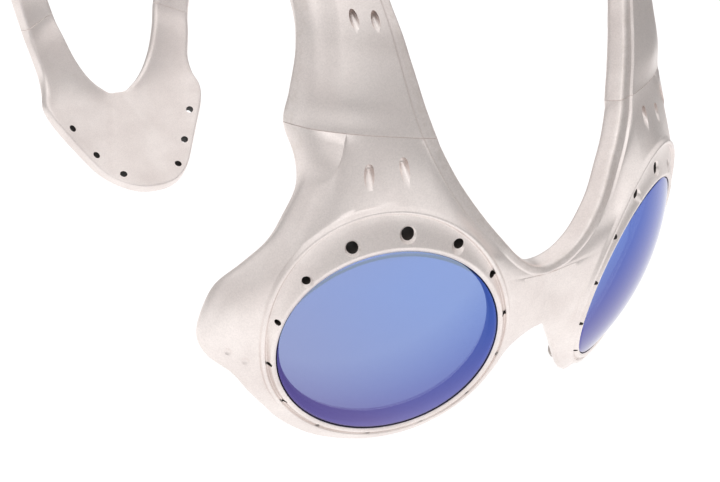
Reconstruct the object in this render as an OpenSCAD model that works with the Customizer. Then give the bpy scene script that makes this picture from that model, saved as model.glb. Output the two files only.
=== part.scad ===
// Sports sunglasses that are worn over the crown of the head. There are no
// temples: one front moulding with two round orbitals carries two bands, which
// run over the head to a yoke at its back. X points to the wearer's left, the
// lenses face -Y, Z is up, and the part stands on the low rims and on the tip
// of the yoke.

/* [Lenses] */
// Diameter of each round lens
lens_d = 44.3; // [40:0.1:47]
// Radius of the outer dome of a lens
lens_dome_r = 62; // [52:1:100]
// Thickness of a lens
lens_t = 2.2; // [1.6:0.1:2.8]
// Distance between the two lens centres
lens_pitch = 69.6; // [66:0.2:75]
// How far each lens turns round the face, in degrees
wrap_a = 22.4; // [16:0.1:28]
// How far each lens leans in at the cheek, in degrees
tilt_a = 12.3; // [8:0.1:16]
// Running clearance round a lens
lens_clear = 0.15; // [0.1:0.05:0.3]

/* [Orbital rims] */
// Width of the rim beside and below a lens
rim_w = 3.1; // [2.8:0.1:3.6]
// Extra width of the rim over the brow
brow_h = 5.8; // [4.4:0.1:6.4]
// Depth of the rim from front to back
rim_t = 6; // [5.4:0.1:7.4]
// Width of the ledge that a lens rests on
seat_w = 1; // [0.8:0.1:1.5]
// Depth of the lens edge below the lip of the rim
lens_sink = 0.35; // [0.1:0.05:0.8]
// Drop of the rim face from its lip to its border
rim_drop = 1.2; // [0.8:0.1:1.7]
// Height of the raised border round the rim
bead_h = 0.4; // [0.2:0.05:0.7]
// Width of the raised border round the rim
bead_w = 0.9; // [0.7:0.1:1.1]
// Flare of the skirt below the rim
skirt_w = 3.7; // [3:0.1:4.2]

/* [Vents] */
// Number of vents round each rim
vent_n = 14; // [10:1:16]
// Diameter of the largest vent, over the brow
vent_d = 2.3; // [1.6:0.1:2.6]
// Diameter of the smallest vent, below the lens
vent_low_d = 1; // [0.8:0.1:1.3]
// Width of the bevel round a vent
vent_bevel = 0.45; // [0.2:0.05:0.6]

/* [Shell] */
// Thickness of the moulding along the inner edge
edge_t = 5.4; // [4.8:0.1:6.4]
// Thickness of the moulding along the outer edge
outer_t = 4.5; // [4:0.1:5.6]
// Rounding of the edges
edge_r = 1; // [0.6:0.1:1.3]
// Width of the flat strip along the inner edge
strip_w = 2.8; // [2:0.1:3.6]
// Depth of the line beside the strip
strip_d = 0.4; // [0.2:0.05:0.6]
// Depth of the recessed flange along the outer edge
flange_d = 0.5; // [0.3:0.05:0.8]

/* [Scoops] */
// Width of a scoop over the brow
scoop_d = 2; // [1.6:0.1:2.4]
// Depth of a scoop
scoop_deep = 1.5; // [1.1:0.1:2]
// Depth of the shallow scoops in the temple wings
scoop_low = 0.6; // [0.4:0.1:0.9]
// Slope of a scoop into the face, in degrees
scoop_a = 22; // [16:1:30]

/* [Crown bands] */
// Thickness of a crown band at its crown
band_t = 4.3; // [3.8:0.1:5.4]
// Height of the crown above the lens centres
crown_h = 114; // [106:1:124]
// Depth of the head space, from the bridge to the yoke
head_d = 208; // [196:1:220]

/* [Rear yoke] */
// Thickness of the yoke
yoke_t = 4.3; // [3.8:0.1:5.4]
// Number of holes along each lower edge of the yoke
yoke_hole_n = 3; // [1:1:4]
// Diameter of the lowest hole in the yoke
yoke_hole_d = 2.4; // [1.8:0.1:3]
// Distance from the middle of a hole to the edge of the yoke
yoke_hole_edge = 3.8; // [3.4:0.1:5]

/* [Joints of the bands] */
// Diameter of the pegs that join a band to the front and to the yoke
peg_d = 2.2; // [1.8:0.1:2.4]
// Length of a peg past the seam
peg_l = 4; // [3:0.5:5]
// Clearance round a peg and past its end
peg_clear = 0.1; // [0.05:0.05:0.2]

/* [Nose pads] */
// Width of a nose pad
pad_w = 4; // [3:0.1:4.4]
// Height of a nose pad above the flank that it sits in
pad_h = 1.1; // [0.8:0.1:1.5]
// Depth of a nose pad below the flank
pad_sink = 0.9; // [0.6:0.1:1.2]
// Length of a nose pad round the rim, in degrees
pad_a = 24; // [16:1:28]
// Clearance round a nose pad in its pocket
pad_clear = 0.15; // [0.1:0.05:0.25]

/* [Hidden] */
SILVER = "#cdc6c0";
BLUE = "#5b78d8";
RUBBER = "#3a3a3d";

lens_x = lens_pitch / 2;
open_r = lens_d / 2 + lens_clear;
bore_in = open_r - 1.6;
dome_h = lens_dome_r - sqrt(pow(lens_dome_r, 2) - pow(lens_d / 2, 2));
lens_back = lens_sink - dome_h + lens_dome_r - sqrt(pow(lens_dome_r - lens_t, 2) - pow(lens_d / 2, 2));
seat_c = lens_back + lens_clear;
rim_out = open_r + rim_w + skirt_w;
skirt_c = 4;
// Front of the lenses, from the middle of the part
front_y = -(head_d - 13.1) / 2;

// Place of the foot of the flange, from the corner to the knee
flange_at = 0.3;

// Steps between two stations of an outline, and points across a section
EDGE_STEPS = 2;
BAND_STEPS = 2;
SEAM_N = 7;
BRIDGE_N = 4;
FIELD_N = 4;

function unit(v) = v / norm(v);
function mix(a, b, u) = a + (b - a) * u;
function mirrored(p) = [-p[0], p[1], p[2]];
// Smooth curve through four stations, and its slope, between the middle two
function curve(p, u) = 0.5 * (2 * p[1] + (p[2] - p[0]) * u
    + (2 * p[0] - 5 * p[1] + 4 * p[2] - p[3]) * u * u
    + (3 * p[1] - p[0] - 3 * p[2] + p[3]) * u * u * u);
function slope(p, u) = 0.5 * ((p[2] - p[0])
    + 2 * (2 * p[0] - 5 * p[1] + 4 * p[2] - p[3]) * u
    + 3 * (3 * p[1] - p[0] - 3 * p[2] + p[3]) * u * u);
function four(list, i) = [for (j = [i - 1 : i + 2]) list[j]];

// Left lens frame: a towards the nose, b up, c back from the plane of the lip
function lens_point(a, b, c) = [
    lens_x - a * cos(wrap_a) + b * sin(tilt_a) * sin(wrap_a) - c * sin(wrap_a) * cos(tilt_a),
    -a * sin(wrap_a) - b * sin(tilt_a) * cos(wrap_a) + c * cos(wrap_a) * cos(tilt_a),
    b * cos(tilt_a) + c * sin(tilt_a)];
function round_point(t, r, c) = lens_point(r * cos(t), r * sin(t), c);
function lens_normal() = lens_point(0, 0, -1) - lens_point(0, 0, 0);
function lens_radial(t) = lens_point(cos(t), sin(t), 0) - lens_point(0, 0, 0);
// The rim is widest over the brow
function brow(t) = sin(t) > 0 ? pow(sin(t), 2.4) : 0;
function rim_r(t) = open_r + rim_w + brow_h * brow(t);
function rim_c(t) = rim_drop + 0.3 * brow(t);

// The eight points of an edge, from the face over the edge to the back. p is
// the sharp corner, n the normal of the face and d the way into the face. The
// shape is the width and the run of the step, its depth, the drop of the edge
// and the thickness.
function edge(p, n, d, s) = [
    p + d * (s[0] + s[1]),
    p + d * s[0] - n * s[2],
    p + d * edge_r - n * s[3],
    p + d * 0.3 * edge_r - n * (s[3] + 0.3 * edge_r),
    p - n * (s[3] + edge_r),
    p - n * (s[4] - edge_r),
    p + d * 0.3 * edge_r - n * (s[4] - 0.3 * edge_r),
    p + d * edge_r - n * s[4]];
// The same for an edge whose face ends at a knee. v runs along the edge.
function knee_edge(p, knee, v, s) =
    let(d = unit(knee - p), n = unit(cross(v, d)), e = edge(p, n, d, [1, 1, 0, s[2], s[3]]))
    concat([knee, mix(p, knee, s[0]) - n * s[1]], [for (i = [2 : 7]) e[i]]);

// A section across a band or the yoke. Its station is the inner corner, the
// outer corner, the knee, the shape of the inner and of the outer edge, the
// tilt of the strip, the thickness at both edges, and the crown of the face.
function skewed(across, n, square) = let(a = across - n * (across * n)) a / (a * square);
function section(q, v) =
    let(i = [q[0], q[1], q[2]], o = [q[3], q[4], q[5]], knee = [q[6], q[7], q[8]],
        vi = unit([v[0], v[1], v[2]]), vo = unit([v[3], v[4], v[5]]),
        across = unit(knee - i),
        face = unit(cross(across, vi + vo)),
        ni0 = face - across * q[16],
        ni = unit(ni0 - vi * (ni0 * vi)),
        a = edge(i, ni, skewed(across, ni, cross(vi, ni)), [q[9], q[10], q[11], q[12], q[17]]),
        b = knee_edge(o, knee, vo, [q[13], q[14], q[15], q[18]]))
    [a, b,
        [for (j = [1 : SEAM_N]) let(u = j / (SEAM_N + 1)) mix(a[0], b[0], u) + face * q[19] * 4 * u * (1 - u)],
        [for (j = [1 : SEAM_N]) let(u = j / (SEAM_N + 1)) mix(a[7], b[7], u) + face * q[19] * 4 * u * (1 - u)]];

// Left crown band, from the front seam over the head to the rear seam. Each
// row is the inner corner, the outer corner, the knee, the width of the strip,
// the tilt of the strip, both thicknesses and the crown of the face.
yb = head_d - 208;
zb = crown_h - 114;
function band_row(i, o, knee, w, k, ti, to, h) = concat(i, o, knee,
    [w, 0.4, strip_d, strip_d + 0.2], [flange_at, flange_d, 0.25], [k, ti, to, h]);
// Moves a row with the height of the crown and the depth of the head space
function moved(row, y, z) = [for (n = [0 : len(row) - 1]) row[n] + (n > 8 ? 0 : [0, y, z][n % 3])];
REAR_SEAM = [
    band_row([22, 204.9, 40.4], [33.5, 200.8, 37.6], [29.5, 202.8, 38.6], strip_w - 1, 0.1, yoke_t, yoke_t, 0.6),
    band_row([19, 205.3, 27.3], [30.6, 200.6, 23.5], [26.5, 202.8, 24.7], strip_w - 1, 0.1, yoke_t, yoke_t, 0.6),
    band_row([16.5, 202.4, 19.4], [28.9, 198.7, 15.4], [24.6, 200.5, 16.8], strip_w - 1, 0.1, yoke_t, yoke_t, 0.6)];
BAND = concat([
    band_row([23.7, -2.8, 36.8], [50.2, 11.8, 38.6], [45.5, 3.6, 38], strip_w, 0.05, edge_t, outer_t, 0.3),
    band_row([25.7, -1.4, 41.3], [51.1, 14.1, 44.6], [43.1, 5.2, 43.3], strip_w, 0.05, edge_t, outer_t, 0.3),
    band_row([27.4, 0.5, 47.2], [50, 13.9, 50.4], [43.6, 6.4, 49.6], strip_w, 0.05, edge_t, outer_t, 0.3),
    band_row([29.3, 3.2, 55.6], [48.3, 14, 58.8], [42.2, 9, 57.6], strip_w - 0.4, 0.05, edge_t - 0.2, outer_t, 0.3),
    moved(band_row([31, 7.1, 64.9], [47.7, 16.4, 67.7], [41, 12.6, 67],
        strip_w - 0.8, 0.06, edge_t - 0.4, outer_t, 0.4), 0, zb * 0.2),
    moved(band_row([32.9, 18.8, 82.7], [47.6, 25.4, 81.8], [41, 21.4, 83.2],
        strip_w - 1, 0.06, band_t + 0.6, band_t, 0.5), 0, zb * 0.6),
    moved(band_row([34.2, 42.3, 100.6], [47.9, 46.1, 95.9], [42.7, 44, 98.8],
        strip_w - 1, 0.08, band_t + 0.2, band_t, 0.5), 0, zb * 0.9),
    moved(band_row([34.8, 75.2, 112.3], [47.9, 75.2, 105.8], [43.8, 75.2, 109],
        strip_w - 1, 0.08, band_t, band_t, 0.6), yb * 0.3, zb),
    moved(band_row([34.2, 110.9, 113.7], [47, 110, 107.2], [42.9, 110.3, 110.3],
        strip_w - 1, 0.08, band_t, band_t, 0.6), yb * 0.5, zb),
    moved(band_row([32.5, 145.7, 105.3], [44.7, 143.8, 99.6], [40.7, 144.9, 102.2],
        strip_w - 1, 0.08, band_t, band_t, 0.6), yb * 0.8, zb),
    moved(band_row([29.7, 175.8, 86.5], [41.5, 173, 82.2], [37.6, 174.5, 84.1],
        strip_w - 1, 0.1, band_t, band_t, 0.6), yb, zb * 0.8),
    moved(band_row([25.9, 196.5, 62], [37.4, 193.2, 58.8], [33.5, 195, 60.1],
        strip_w - 1, 0.1, band_t, yoke_t, 0.6), yb, zb * 0.4)],
    [for (row = REAR_SEAM) moved(row, yb, 0)]);
BAND_LAST = len(BAND) - 2;
function band_at(i, u) = section(curve(four(BAND, i), u), slope(four(BAND, i), u));
SEAM = band_at(1, 0);
REAR = band_at(BAND_LAST - 1, 1);

// Outline of the left half of the front moulding. An upper row is the angle
// round the lens, the corner, the shape of the edge, and the flare and the
// bulge of the face. A lower row has the knee in place of a shape, and the
// angle that its face is turned to.
function upper_row(t, p, f, k, h) = concat([t], p, [mix(1.7, strip_w, f), 0.4, strip_d * f,
    mix(0.25, strip_d + 0.2, f), edge_t, k, h, t]);
function outer_row(t, p, knee, f, g, k, h) = concat([t], p, knee, [flange_at, flange_d * f, 0.25, outer_t, k, h, g]);
function skirt_row(t, r, c, th, k) = concat([t], round_point(t, rim_out + r, skirt_c + c),
    round_point(t, rim_out + r - 1.1, skirt_c + c - 0.9), [0.5, 0, 0.2, th, k, 0, t]);
UPPER = [
    upper_row(24, [-4.5, -8.1, 13.1], 0, 0.45, 0),
    upper_row(27, [0, -7.5, 11.8], 0, 0.49, 0),
    upper_row(31, [4.5, -8.1, 13.1], 0, 0.45, 0),
    upper_row(36, [8.8, -8.3, 16], 0, 0.42, 0),
    upper_row(42, [12.3, -8, 19.6], 0.2, 0.4, 0),
    upper_row(50, [16.1, -7, 24.1], 0.7, 0.4, -0.2),
    upper_row(58, [19.6, -5.2, 29.3], 1, 0.45, -0.4),
    upper_row(66, [22.7, -3.6, 34.5], 1, 0.5, -0.6),
    upper_row(74, [25.7, -1.4, 41.3], 1, 0.55, -0.8),
    upper_row(80, [27.4, 0.5, 47.2], 1, 0.55, -0.8)];
OUTER = [
    outer_row(110, [50, 13.9, 50.4], [43.6, 6.4, 49.6], 1, 172, 0.42, -0.3),
    outer_row(113, [51.1, 14.1, 44.6], [43.1, 5.2, 43.3], 1, 172, 0.42, -0.3),
    outer_row(116, [50.2, 11.8, 38.6], [45.5, 3.6, 38], 1, 168, 0.45, -0.1),
    outer_row(120, [49.9, 10.7, 32.9], [49, 4.4, 33.6], 1, 164, 0.5, 0.1),
    outer_row(126, [51.9, 11.7, 27.3], [51.9, 5.6, 28], 1, 158, 0.55, 0.2),
    outer_row(135, [54.4, 13.2, 22.1], [54.8, 7.2, 23], 1, 155, 0.6, 0),
    outer_row(146, [58.3, 16, 17.4], [58, 10.2, 17.8], 1, 157, 0.6, 0.2),
    outer_row(157, [62.6, 19.2, 12.5], [61.4, 14, 12.6], 0.8, 162, 0.6, 0.4),
    outer_row(168, [65.4, 20.8, 6.4], [63.8, 17, 6.8], 0.4, 170, 0.6, 0.6),
    outer_row(177, [66.4, 20.7, 1.5], [64.9, 18.2, 2], 0.1, 178, 0.6, 0.6),
    outer_row(185, [65.1, 18.8, -2.4], [63.4, 16.8, -1.6], 0, 186, 0.65, 0.6),
    outer_row(194, [61.5, 16.4, -6], [60.2, 14.6, -5], 0, 195, 0.7, 0.5),
    outer_row(206, [57.2, 15.2, -10.9], [56, 13.6, -10], 0, 206, 0.8, 0.3),
    skirt_row(223, 1, 0.2, 4, 0.9),
    skirt_row(240, 0.2, 0, 3.4, 1),
    skirt_row(256, 0, 0, 3.2, 1),
    skirt_row(272, 0, 0, 3.2, 1),
    skirt_row(288, 0, 0, 4, 1),
    skirt_row(304, -0.4, 0, 5, 1),
    skirt_row(320, -0.4, 0.4, 5.4, 1),
    skirt_row(333, 0.7, 1.4, 5.4, 0.9),
    skirt_row(343, 2.9, 2.6, 5, 0.8),
    outer_row(350, [2.7, -5.3, -4.3], [3.1, -6.4, -3.2], 0, 350, 0.6, 0),
    outer_row(355, [0, -7.1, -2.4], [0, -7.9, -1.1], 0, 355, 0.55, 0),
    outer_row(360, [-2.7, -5.3, -4.3], [-3.1, -6.4, -3.2], 0, 360, 0.6, 0)];

function face_normal(t, k) = unit(lens_normal() + lens_radial(t) * k);
function upper_edge(q, v) =
    let(w = unit([v[1], v[2], v[3]]), n0 = face_normal(q[11], q[9]), n = unit(n0 - w * (n0 * w)))
    edge([q[1], q[2], q[3]], n, cross(w, n), [q[4], q[5], q[6], q[7], q[8]]);
function outer_edge(q, v) = knee_edge([q[1], q[2], q[3]], [q[4], q[5], q[6]],
    unit([-v[1], -v[2], -v[3]]), [q[7], q[8], q[9], q[10]]);
UPPER_END = len(UPPER) - 2;
OUTER_END = len(OUTER) - 2;
BRIDGE_TOP = upper_edge(UPPER[1], slope(four(UPPER, 1), 0));
BRIDGE_LOW = outer_edge(OUTER[OUTER_END], slope(four(OUTER, OUTER_END - 1), 1));

// A spoke is its angle, the bulge and flare of its face, and its edge points
function upper_spoke(i, u) = let(q = curve(four(UPPER, i), u))
    [q[0], q[10], q[9], upper_edge(q, slope(four(UPPER, i), u)), q[11]];
function outer_spoke(i, u) = let(q = curve(four(OUTER, i), u))
    [q[0], q[12], q[11], outer_edge(q, slope(four(OUTER, i), u)), q[13]];
function open_spoke(t, h, k, front, back) = [t, h, k, concat([for (i = [0 : 3]) front],
    [for (i = [0 : 3]) back]), t];
SPOKES = concat(
    [for (i = [1 : UPPER_END - 1]) for (j = [0 : EDGE_STEPS - 1]) upper_spoke(i, j / EDGE_STEPS)],
    [[UPPER[UPPER_END][0], -0.6, 0.55, SEAM[0], UPPER[UPPER_END][0]]],
    [for (j = [1 : SEAM_N]) open_spoke(mix(UPPER[UPPER_END][0], OUTER[1][0], j / (SEAM_N + 1)),
        -0.6, 0.5, SEAM[2][j - 1], SEAM[3][j - 1])],
    [[OUTER[1][0], -0.3, 0.45, SEAM[1], OUTER[1][13]]],
    [for (i = [1 : OUTER_END - 1]) for (j = [1 : EDGE_STEPS]) outer_spoke(i, j / EDGE_STEPS)],
    [for (j = [1 : BRIDGE_N]) let(u = j / (BRIDGE_N + 1))
        open_spoke(mix(OUTER[OUTER_END][0], UPPER[1][0] + 360, u), 0, 0.5,
            mix(BRIDGE_LOW[0], BRIDGE_TOP[0], u), mix(BRIDGE_LOW[7], BRIDGE_TOP[7], u))]);
SPOKE_N = len(SPOKES);
SEAM_FIRST = (UPPER_END - 1) * EDGE_STEPS;
SEAM_LAST = SEAM_FIRST + SEAM_N + 1;
LOW_SPOKE = SPOKE_N - BRIDGE_N - 1;
function is_open(k) = (k > SEAM_FIRST && k < SEAM_LAST) || k > LOW_SPOKE;

function rim_points(t) = let(r = rim_r(t), c = rim_c(t)) [
    round_point(t, bore_in, 1),
    round_point(t, open_r + 0.35, 0.12),
    round_point(t, open_r + 0.9, 0),
    round_point(t, mix(open_r + 0.9, r - bead_w - 0.35, 0.5), c * 0.7),
    round_point(t, r - bead_w - 0.35, c),
    round_point(t, r - bead_w, c - bead_h),
    round_point(t, r - 0.25, c - bead_h + 0.1),
    round_point(t, r + 0.1, c + 0.45)];
function spoke_points(s) =
    let(t = s[0], rim = rim_points(t), n = face_normal(s[4], s[2]), e = s[3],
        back = round_point(t, open_r + 2.4, rim_t), last = round_point(t, bore_in, rim_t))
    concat(rim,
        [for (i = [1 : FIELD_N]) let(u = i / (FIELD_N + 1))
            mix(rim[7], e[0], u) + n * s[1] * 4 * u * (1 - u)],
        e,
        [mix(e[7], back, 0.35) + n * s[1] * 0.8, mix(e[7], back, 0.7) + n * s[1] * 0.5, back, last]);
LOOPS = [for (s = SPOKES) spoke_points(s)];
// The part stands on its rims, so the lens centres are this high
lens_z = -min([for (l = LOOPS) for (p = l) p[2]]);
yoke_low = -lens_z - 0.8;

// Left half of the rear yoke, from its seam down to the middle
function yoke_row(i, o, h) = band_row(i, o, mix(o, i, 0.18) + [0, 0.4, -0.2], strip_w - 1, 0.1, yoke_t, yoke_t, h);
YOKE = [for (row = concat(REAR_SEAM, [
    yoke_row([14, 200.7, 12.2], [27.7, 196.8, 8.6], 0.6),
    yoke_row([11, 199.6, 6.2], [27.9, 194.3, 3.2], 0.8),
    yoke_row([8.1, 199, 2.2], [29, 191, -1.3], 1),
    yoke_row([5.5, 198.7, -0.3], [27.4, 187.2, -6.4], 1.2),
    yoke_row([3.6, 198.5, -1.6], [22.9, 183, -13.8], 1.2),
    yoke_row([2.1, 198.4, -2.1], [16.4, 177, -22.4], 1.2),
    yoke_row([0.9, 198.4, -2.3], [8.4, 170.6, yoke_low + 1], 1.2),
    yoke_row([0, 198.4, -2.4], [0, 168.4, yoke_low], 1.2)])) moved(row, yb, 0)];
YOKE_LAST = len(YOKE) - 1;
function flipped(row) = [for (n = [0 : len(row) - 1]) n < 9 && n % 3 == 0 ? -row[n] : row[n]];
YOKE_ALL = concat(YOKE, [flipped(YOKE[YOKE_LAST - 1])]);
function yoke_at(i, u) = section(curve(four(YOKE_ALL, i), u), slope(four(YOKE_ALL, i), u));

FRONT_LAST = 8 + FIELD_N;
BACK_FIRST = FRONT_LAST + 7;
LOOP_N = BACK_FIRST + 5;

// The right half shares the points on the plane between the two halves
function on_middle(k, i) = i >= FRONT_LAST && i <= BACK_FIRST && (k == 0 || k >= LOW_SPOKE);
function left_id(k, i) = k * LOOP_N + i;
function right_id(k, i) = on_middle(k, i) ? left_id(k, i) : SPOKE_N * LOOP_N + k * LOOP_N + i;
function quad(a, b, c, d) = [[a, b, c], [a, c, d]];
function joined(lists) = [for (l = lists) for (x = l) x];
// Strips between two neighbouring spokes, in places where both have points
function strip_here(k, m, i) = i < FRONT_LAST || i >= BACK_FIRST || !(is_open(k) || is_open(m));
function half_faces(left) = joined(concat(
    [for (k = [0 : SPOKE_N - 1]) let(m = (k + 1) % SPOKE_N)
        for (i = [0 : LOOP_N - 1]) let(j = (i + 1) % LOOP_N)
            if (strip_here(k, m, i))
                left ? quad(left_id(k, i), left_id(k, j), left_id(m, j), left_id(m, i))
                    : quad(right_id(k, i), right_id(m, i), right_id(m, j), right_id(k, j))],
    [for (k = [SEAM_FIRST : SEAM_LAST - 1])
        left ? quad(left_id(k, FRONT_LAST), left_id(k, BACK_FIRST), left_id(k + 1, BACK_FIRST),
                left_id(k + 1, FRONT_LAST))
            : quad(right_id(k, FRONT_LAST), right_id(k + 1, FRONT_LAST), right_id(k + 1, BACK_FIRST),
                right_id(k, BACK_FIRST))],
    [for (k = [SEAM_FIRST, SEAM_LAST]) [for (i = [FRONT_LAST : BACK_FIRST - 2])
        let(tri = left ? [left_id(k, BACK_FIRST), left_id(k, i), left_id(k, i + 1)]
                : [right_id(k, BACK_FIRST), right_id(k, i + 1), right_id(k, i)])
            k == SEAM_FIRST ? tri : [tri[0], tri[2], tri[1]]]]));

module front_shell() {
    polyhedron(
        points = concat(joined(LOOPS), [for (p = joined(LOOPS)) mirrored(p)]),
        faces = concat(half_faces(true), half_faces(false)),
        convexity = 8);
}

// Places a child in the lens frame of the left or the right lens
module at_lens(left) {
    mirror([left ? 0 : 1, 0, 0])
        translate([lens_x, 0, 0])
            rotate([90 + tilt_a, 0, wrap_a])
                children();
}

// Places everything on the surface that the part stands on
module standing() {
    translate([0, front_y, lens_z])
        children();
}

module lens_opening() {
    rotate_extrude($fn = 128)
        polygon([
            [0, -rim_t - 4], [open_r - seat_w + 2, -rim_t - 4], [open_r - seat_w, -rim_t + 1.6],
            [open_r - seat_w, -seat_c], [open_r, -seat_c], [open_r, 3], [0, 3]]);
}

function vent_size(t) = mix(vent_low_d, vent_d, pow(0.5 + 0.5 * sin(t), 2.5));
function vent_r(t) = open_r + rim_w * 0.44 + brow_h * 0.44 * brow(t);
function vent_lip(t) = vent_bevel * vent_size(t) / vent_d;
module vents() {
    for (i = [0 : vent_n - 1]) {
        t = 86 + i * 360 / vent_n;
        d = vent_size(t);
        translate([-vent_r(t) * cos(t), vent_r(t) * sin(t), 0]) {
            translate([0, 0, -rim_t - 6])
                cylinder(h = rim_t + 8, d = d, $fn = 24);
            translate([0, 0, -rim_c(t) * 0.7 - vent_lip(t)])
                cylinder(h = 2, d1 = d, d2 = d + 4, $fn = 24);
        }
    }
}

// Turns a child's Z axis to a direction
module along(v) {
    rotate([0, acos(v[2] / norm(v)), atan2(v[1], v[0])])
        children();
}
// Middle of a section, at a part of its width
function section_mid(s, u) = (mix(s[0][0], s[1][0], u) + mix(s[0][7], s[1][7], u)) / 2;
PEG_AT = [0.25, 0.62];
FRONT_WAY = unit([for (i = [0 : 2]) -slope(four(BAND, 1), 0)[i] - slope(four(BAND, 1), 0)[i + 3]]);
REAR_WAY = unit([for (i = [0 : 2]) slope(four(YOKE, 1), 0)[i] + slope(four(YOKE, 1), 0)[i + 3]]);
// Pegs of a band past its seams, or the sockets that they go into
module seam_pegs(s, way, back, extra) {
    for (u = PEG_AT)
        translate(section_mid(s, u) - way * back)
            along(way)
                cylinder(h = peg_l + back + extra, d = peg_d + 2 * extra, $fn = 32);
}

// A scoop runs down into a face and is deepest at its upper end. p lies on
// the face, up runs along it and out stands off it.
module scoop(p, up, out, deep) {
    ball = p - out * (deep - scoop_d / 2);
    way = up * cos(scoop_a) - out * sin(scoop_a);
    translate(ball) {
        sphere(d = scoop_d, $fn = 32);
        along(-way)
            cylinder(h = scoop_d * 4, d = scoop_d, $fn = 32);
    }
}
// A scoop at a point of the front moulding, named by its spoke and its point
module shell_scoop(k, i, turned, deep) {
    along_spoke = unit(LOOPS[k][i + 1] - LOOPS[k][i - 1]);
    across = unit(LOOPS[k - 1][i] - LOOPS[k + 1][i]);
    scoop(LOOPS[k][i], turned ? across : along_spoke, unit(cross(across, along_spoke)), deep);
}
// A scoop on the face of a band, at a part of its width
module band_scoop(i, u, part) {
    s = band_at(i, u);
    v = slope(four(BAND, i), u);
    up = unit([v[0] + v[3], v[1] + v[4], v[2] + v[5]]);
    scoop(mix(s[0][0], s[1][0], part), up, unit(cross(s[1][0] - s[0][0], up)), scoop_deep);
}
BROW_SCOOPS = [[SEAM_FIRST + 3, 10], [SEAM_FIRST + 6, 10]];
WING_SCOOPS = [[SEAM_LAST + 17, 10], [SEAM_LAST + 19, 9]];
BAND_SCOOPS = [[3, 0.9, 0.3], [3, 0.9, 0.68]];

module front_frame() {
    color(SILVER)
        standing()
            difference() {
                front_shell();
                for (left = [true, false]) {
                    at_lens(left) {
                        lens_opening();
                        vents();
                        nose_pad_body(pad_clear);
                    }
                    mirror([left ? 0 : 1, 0, 0]) {
                        seam_pegs(SEAM, FRONT_WAY, 1, peg_clear);
                        for (at = BROW_SCOOPS)
                            shell_scoop(at[0], at[1], false, scoop_deep);
                        for (at = WING_SCOOPS)
                            shell_scoop(at[0], at[1], true, scoop_low);
                    }
                }
            }
}

// A closed sweep through a list of sections
function ring_of(s) = let(n = len(s[2])) concat(s[0], s[3],
    [for (i = [7 : -1 : 0]) s[1][i]], [for (i = [n - 1 : -1 : 0]) s[2][i]]);
// End face of a sweep: a fan at each edge, and a strip from front to back
function cap(first, n, far) =
    let(m = (n - 16) / 2,
        front = concat([0], [for (j = [1 : m]) n - j], [15 + m]),
        back = concat([7], [for (j = [1 : m]) 7 + j], [8 + m]),
        tris = concat(
            [for (i = [0 : 5]) [7, i, i + 1]],
            [for (i = [1 : 6]) [8 + m, 8 + m + i, 9 + m + i]],
            joined([for (j = [0 : m]) quad(back[j], back[j + 1], front[j + 1], front[j])])))
    [for (t = tris) far ? [first + t[0], first + t[1], first + t[2]] : [first + t[2], first + t[1], first + t[0]]];
module sweep(sections) {
    rings = [for (s = sections) ring_of(s)];
    n = len(rings[0]);
    last = len(rings) - 1;
    polyhedron(
        points = joined(rings),
        faces = concat(
            joined([for (k = [0 : last - 1]) for (i = [0 : n - 1]) let(j = (i + 1) % n)
                quad(k * n + i, k * n + j, (k + 1) * n + j, (k + 1) * n + i)]),
            cap(0, n, false), cap(last * n, n, true)),
        convexity = 6);
}

module crown_band(left) {
    color(SILVER)
        standing()
            mirror([left ? 0 : 1, 0, 0]) {
                difference() {
                    sweep(concat(
                        [for (i = [1 : BAND_LAST - 1]) for (j = [0 : BAND_STEPS - 1]) band_at(i, j / BAND_STEPS)],
                        [REAR]));
                    for (at = BAND_SCOOPS)
                        band_scoop(at[0], at[1], at[2]);
                }
                seam_pegs(SEAM, FRONT_WAY, 1, 0);
                seam_pegs(REAR, REAR_WAY, 1, 0);
            }
}
module right_crown_band() crown_band(false);
module left_crown_band() crown_band(true);

// Places of the holes along the lower edge of the yoke, as stations
YOKE_HOLES = [[6, 0.5], [7, 0.65], [8, 0.75]];
module yoke_hole(at) {
    q = curve(four(YOKE_ALL, at[0]), at[1]);
    v = slope(four(YOKE_ALL, at[0]), at[1]);
    across = unit([q[0] - q[3], q[1] - q[4], q[2] - q[5]]);
    way = unit(cross(across, [v[3], v[4], v[5]]));
    translate([q[3], q[4], q[5]] + across * yoke_hole_edge - way * yoke_t * 2)
        along(way)
            cylinder(h = yoke_t * 4, d = yoke_hole_d, $fn = 32);
}
module rear_yoke() {
    half = concat(
        [for (i = [1 : YOKE_LAST - 1]) for (j = [0 : BAND_STEPS - 1]) yoke_at(i, j / BAND_STEPS)],
        [yoke_at(YOKE_LAST - 1, 1)]);
    color(SILVER)
        standing()
            difference() {
                sweep(concat(half, [for (i = [len(half) - 2 : -1 : 0]) [for (part = half[i])
                    [for (p = part) mirrored(p)]]]));
                for (left = [true, false])
                    mirror([left ? 0 : 1, 0, 0]) {
                        for (i = [0 : yoke_hole_n - 1])
                            yoke_hole(YOKE_HOLES[i]);
                        seam_pegs(REAR, REAR_WAY, 1, peg_clear);
                    }
            }
}

module lens(left) {
    color(BLUE)
        standing()
            at_lens(left)
                translate([0, 0, dome_h - lens_sink - lens_dome_r])
                    difference() {
                        intersection() {
                            sphere(r = lens_dome_r, $fn = 200);
                            cylinder(h = 2 * lens_dome_r, d = lens_d, $fn = 200);
                        }
                        sphere(r = lens_dome_r - lens_t, $fn = 200);
                    }
}

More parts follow.
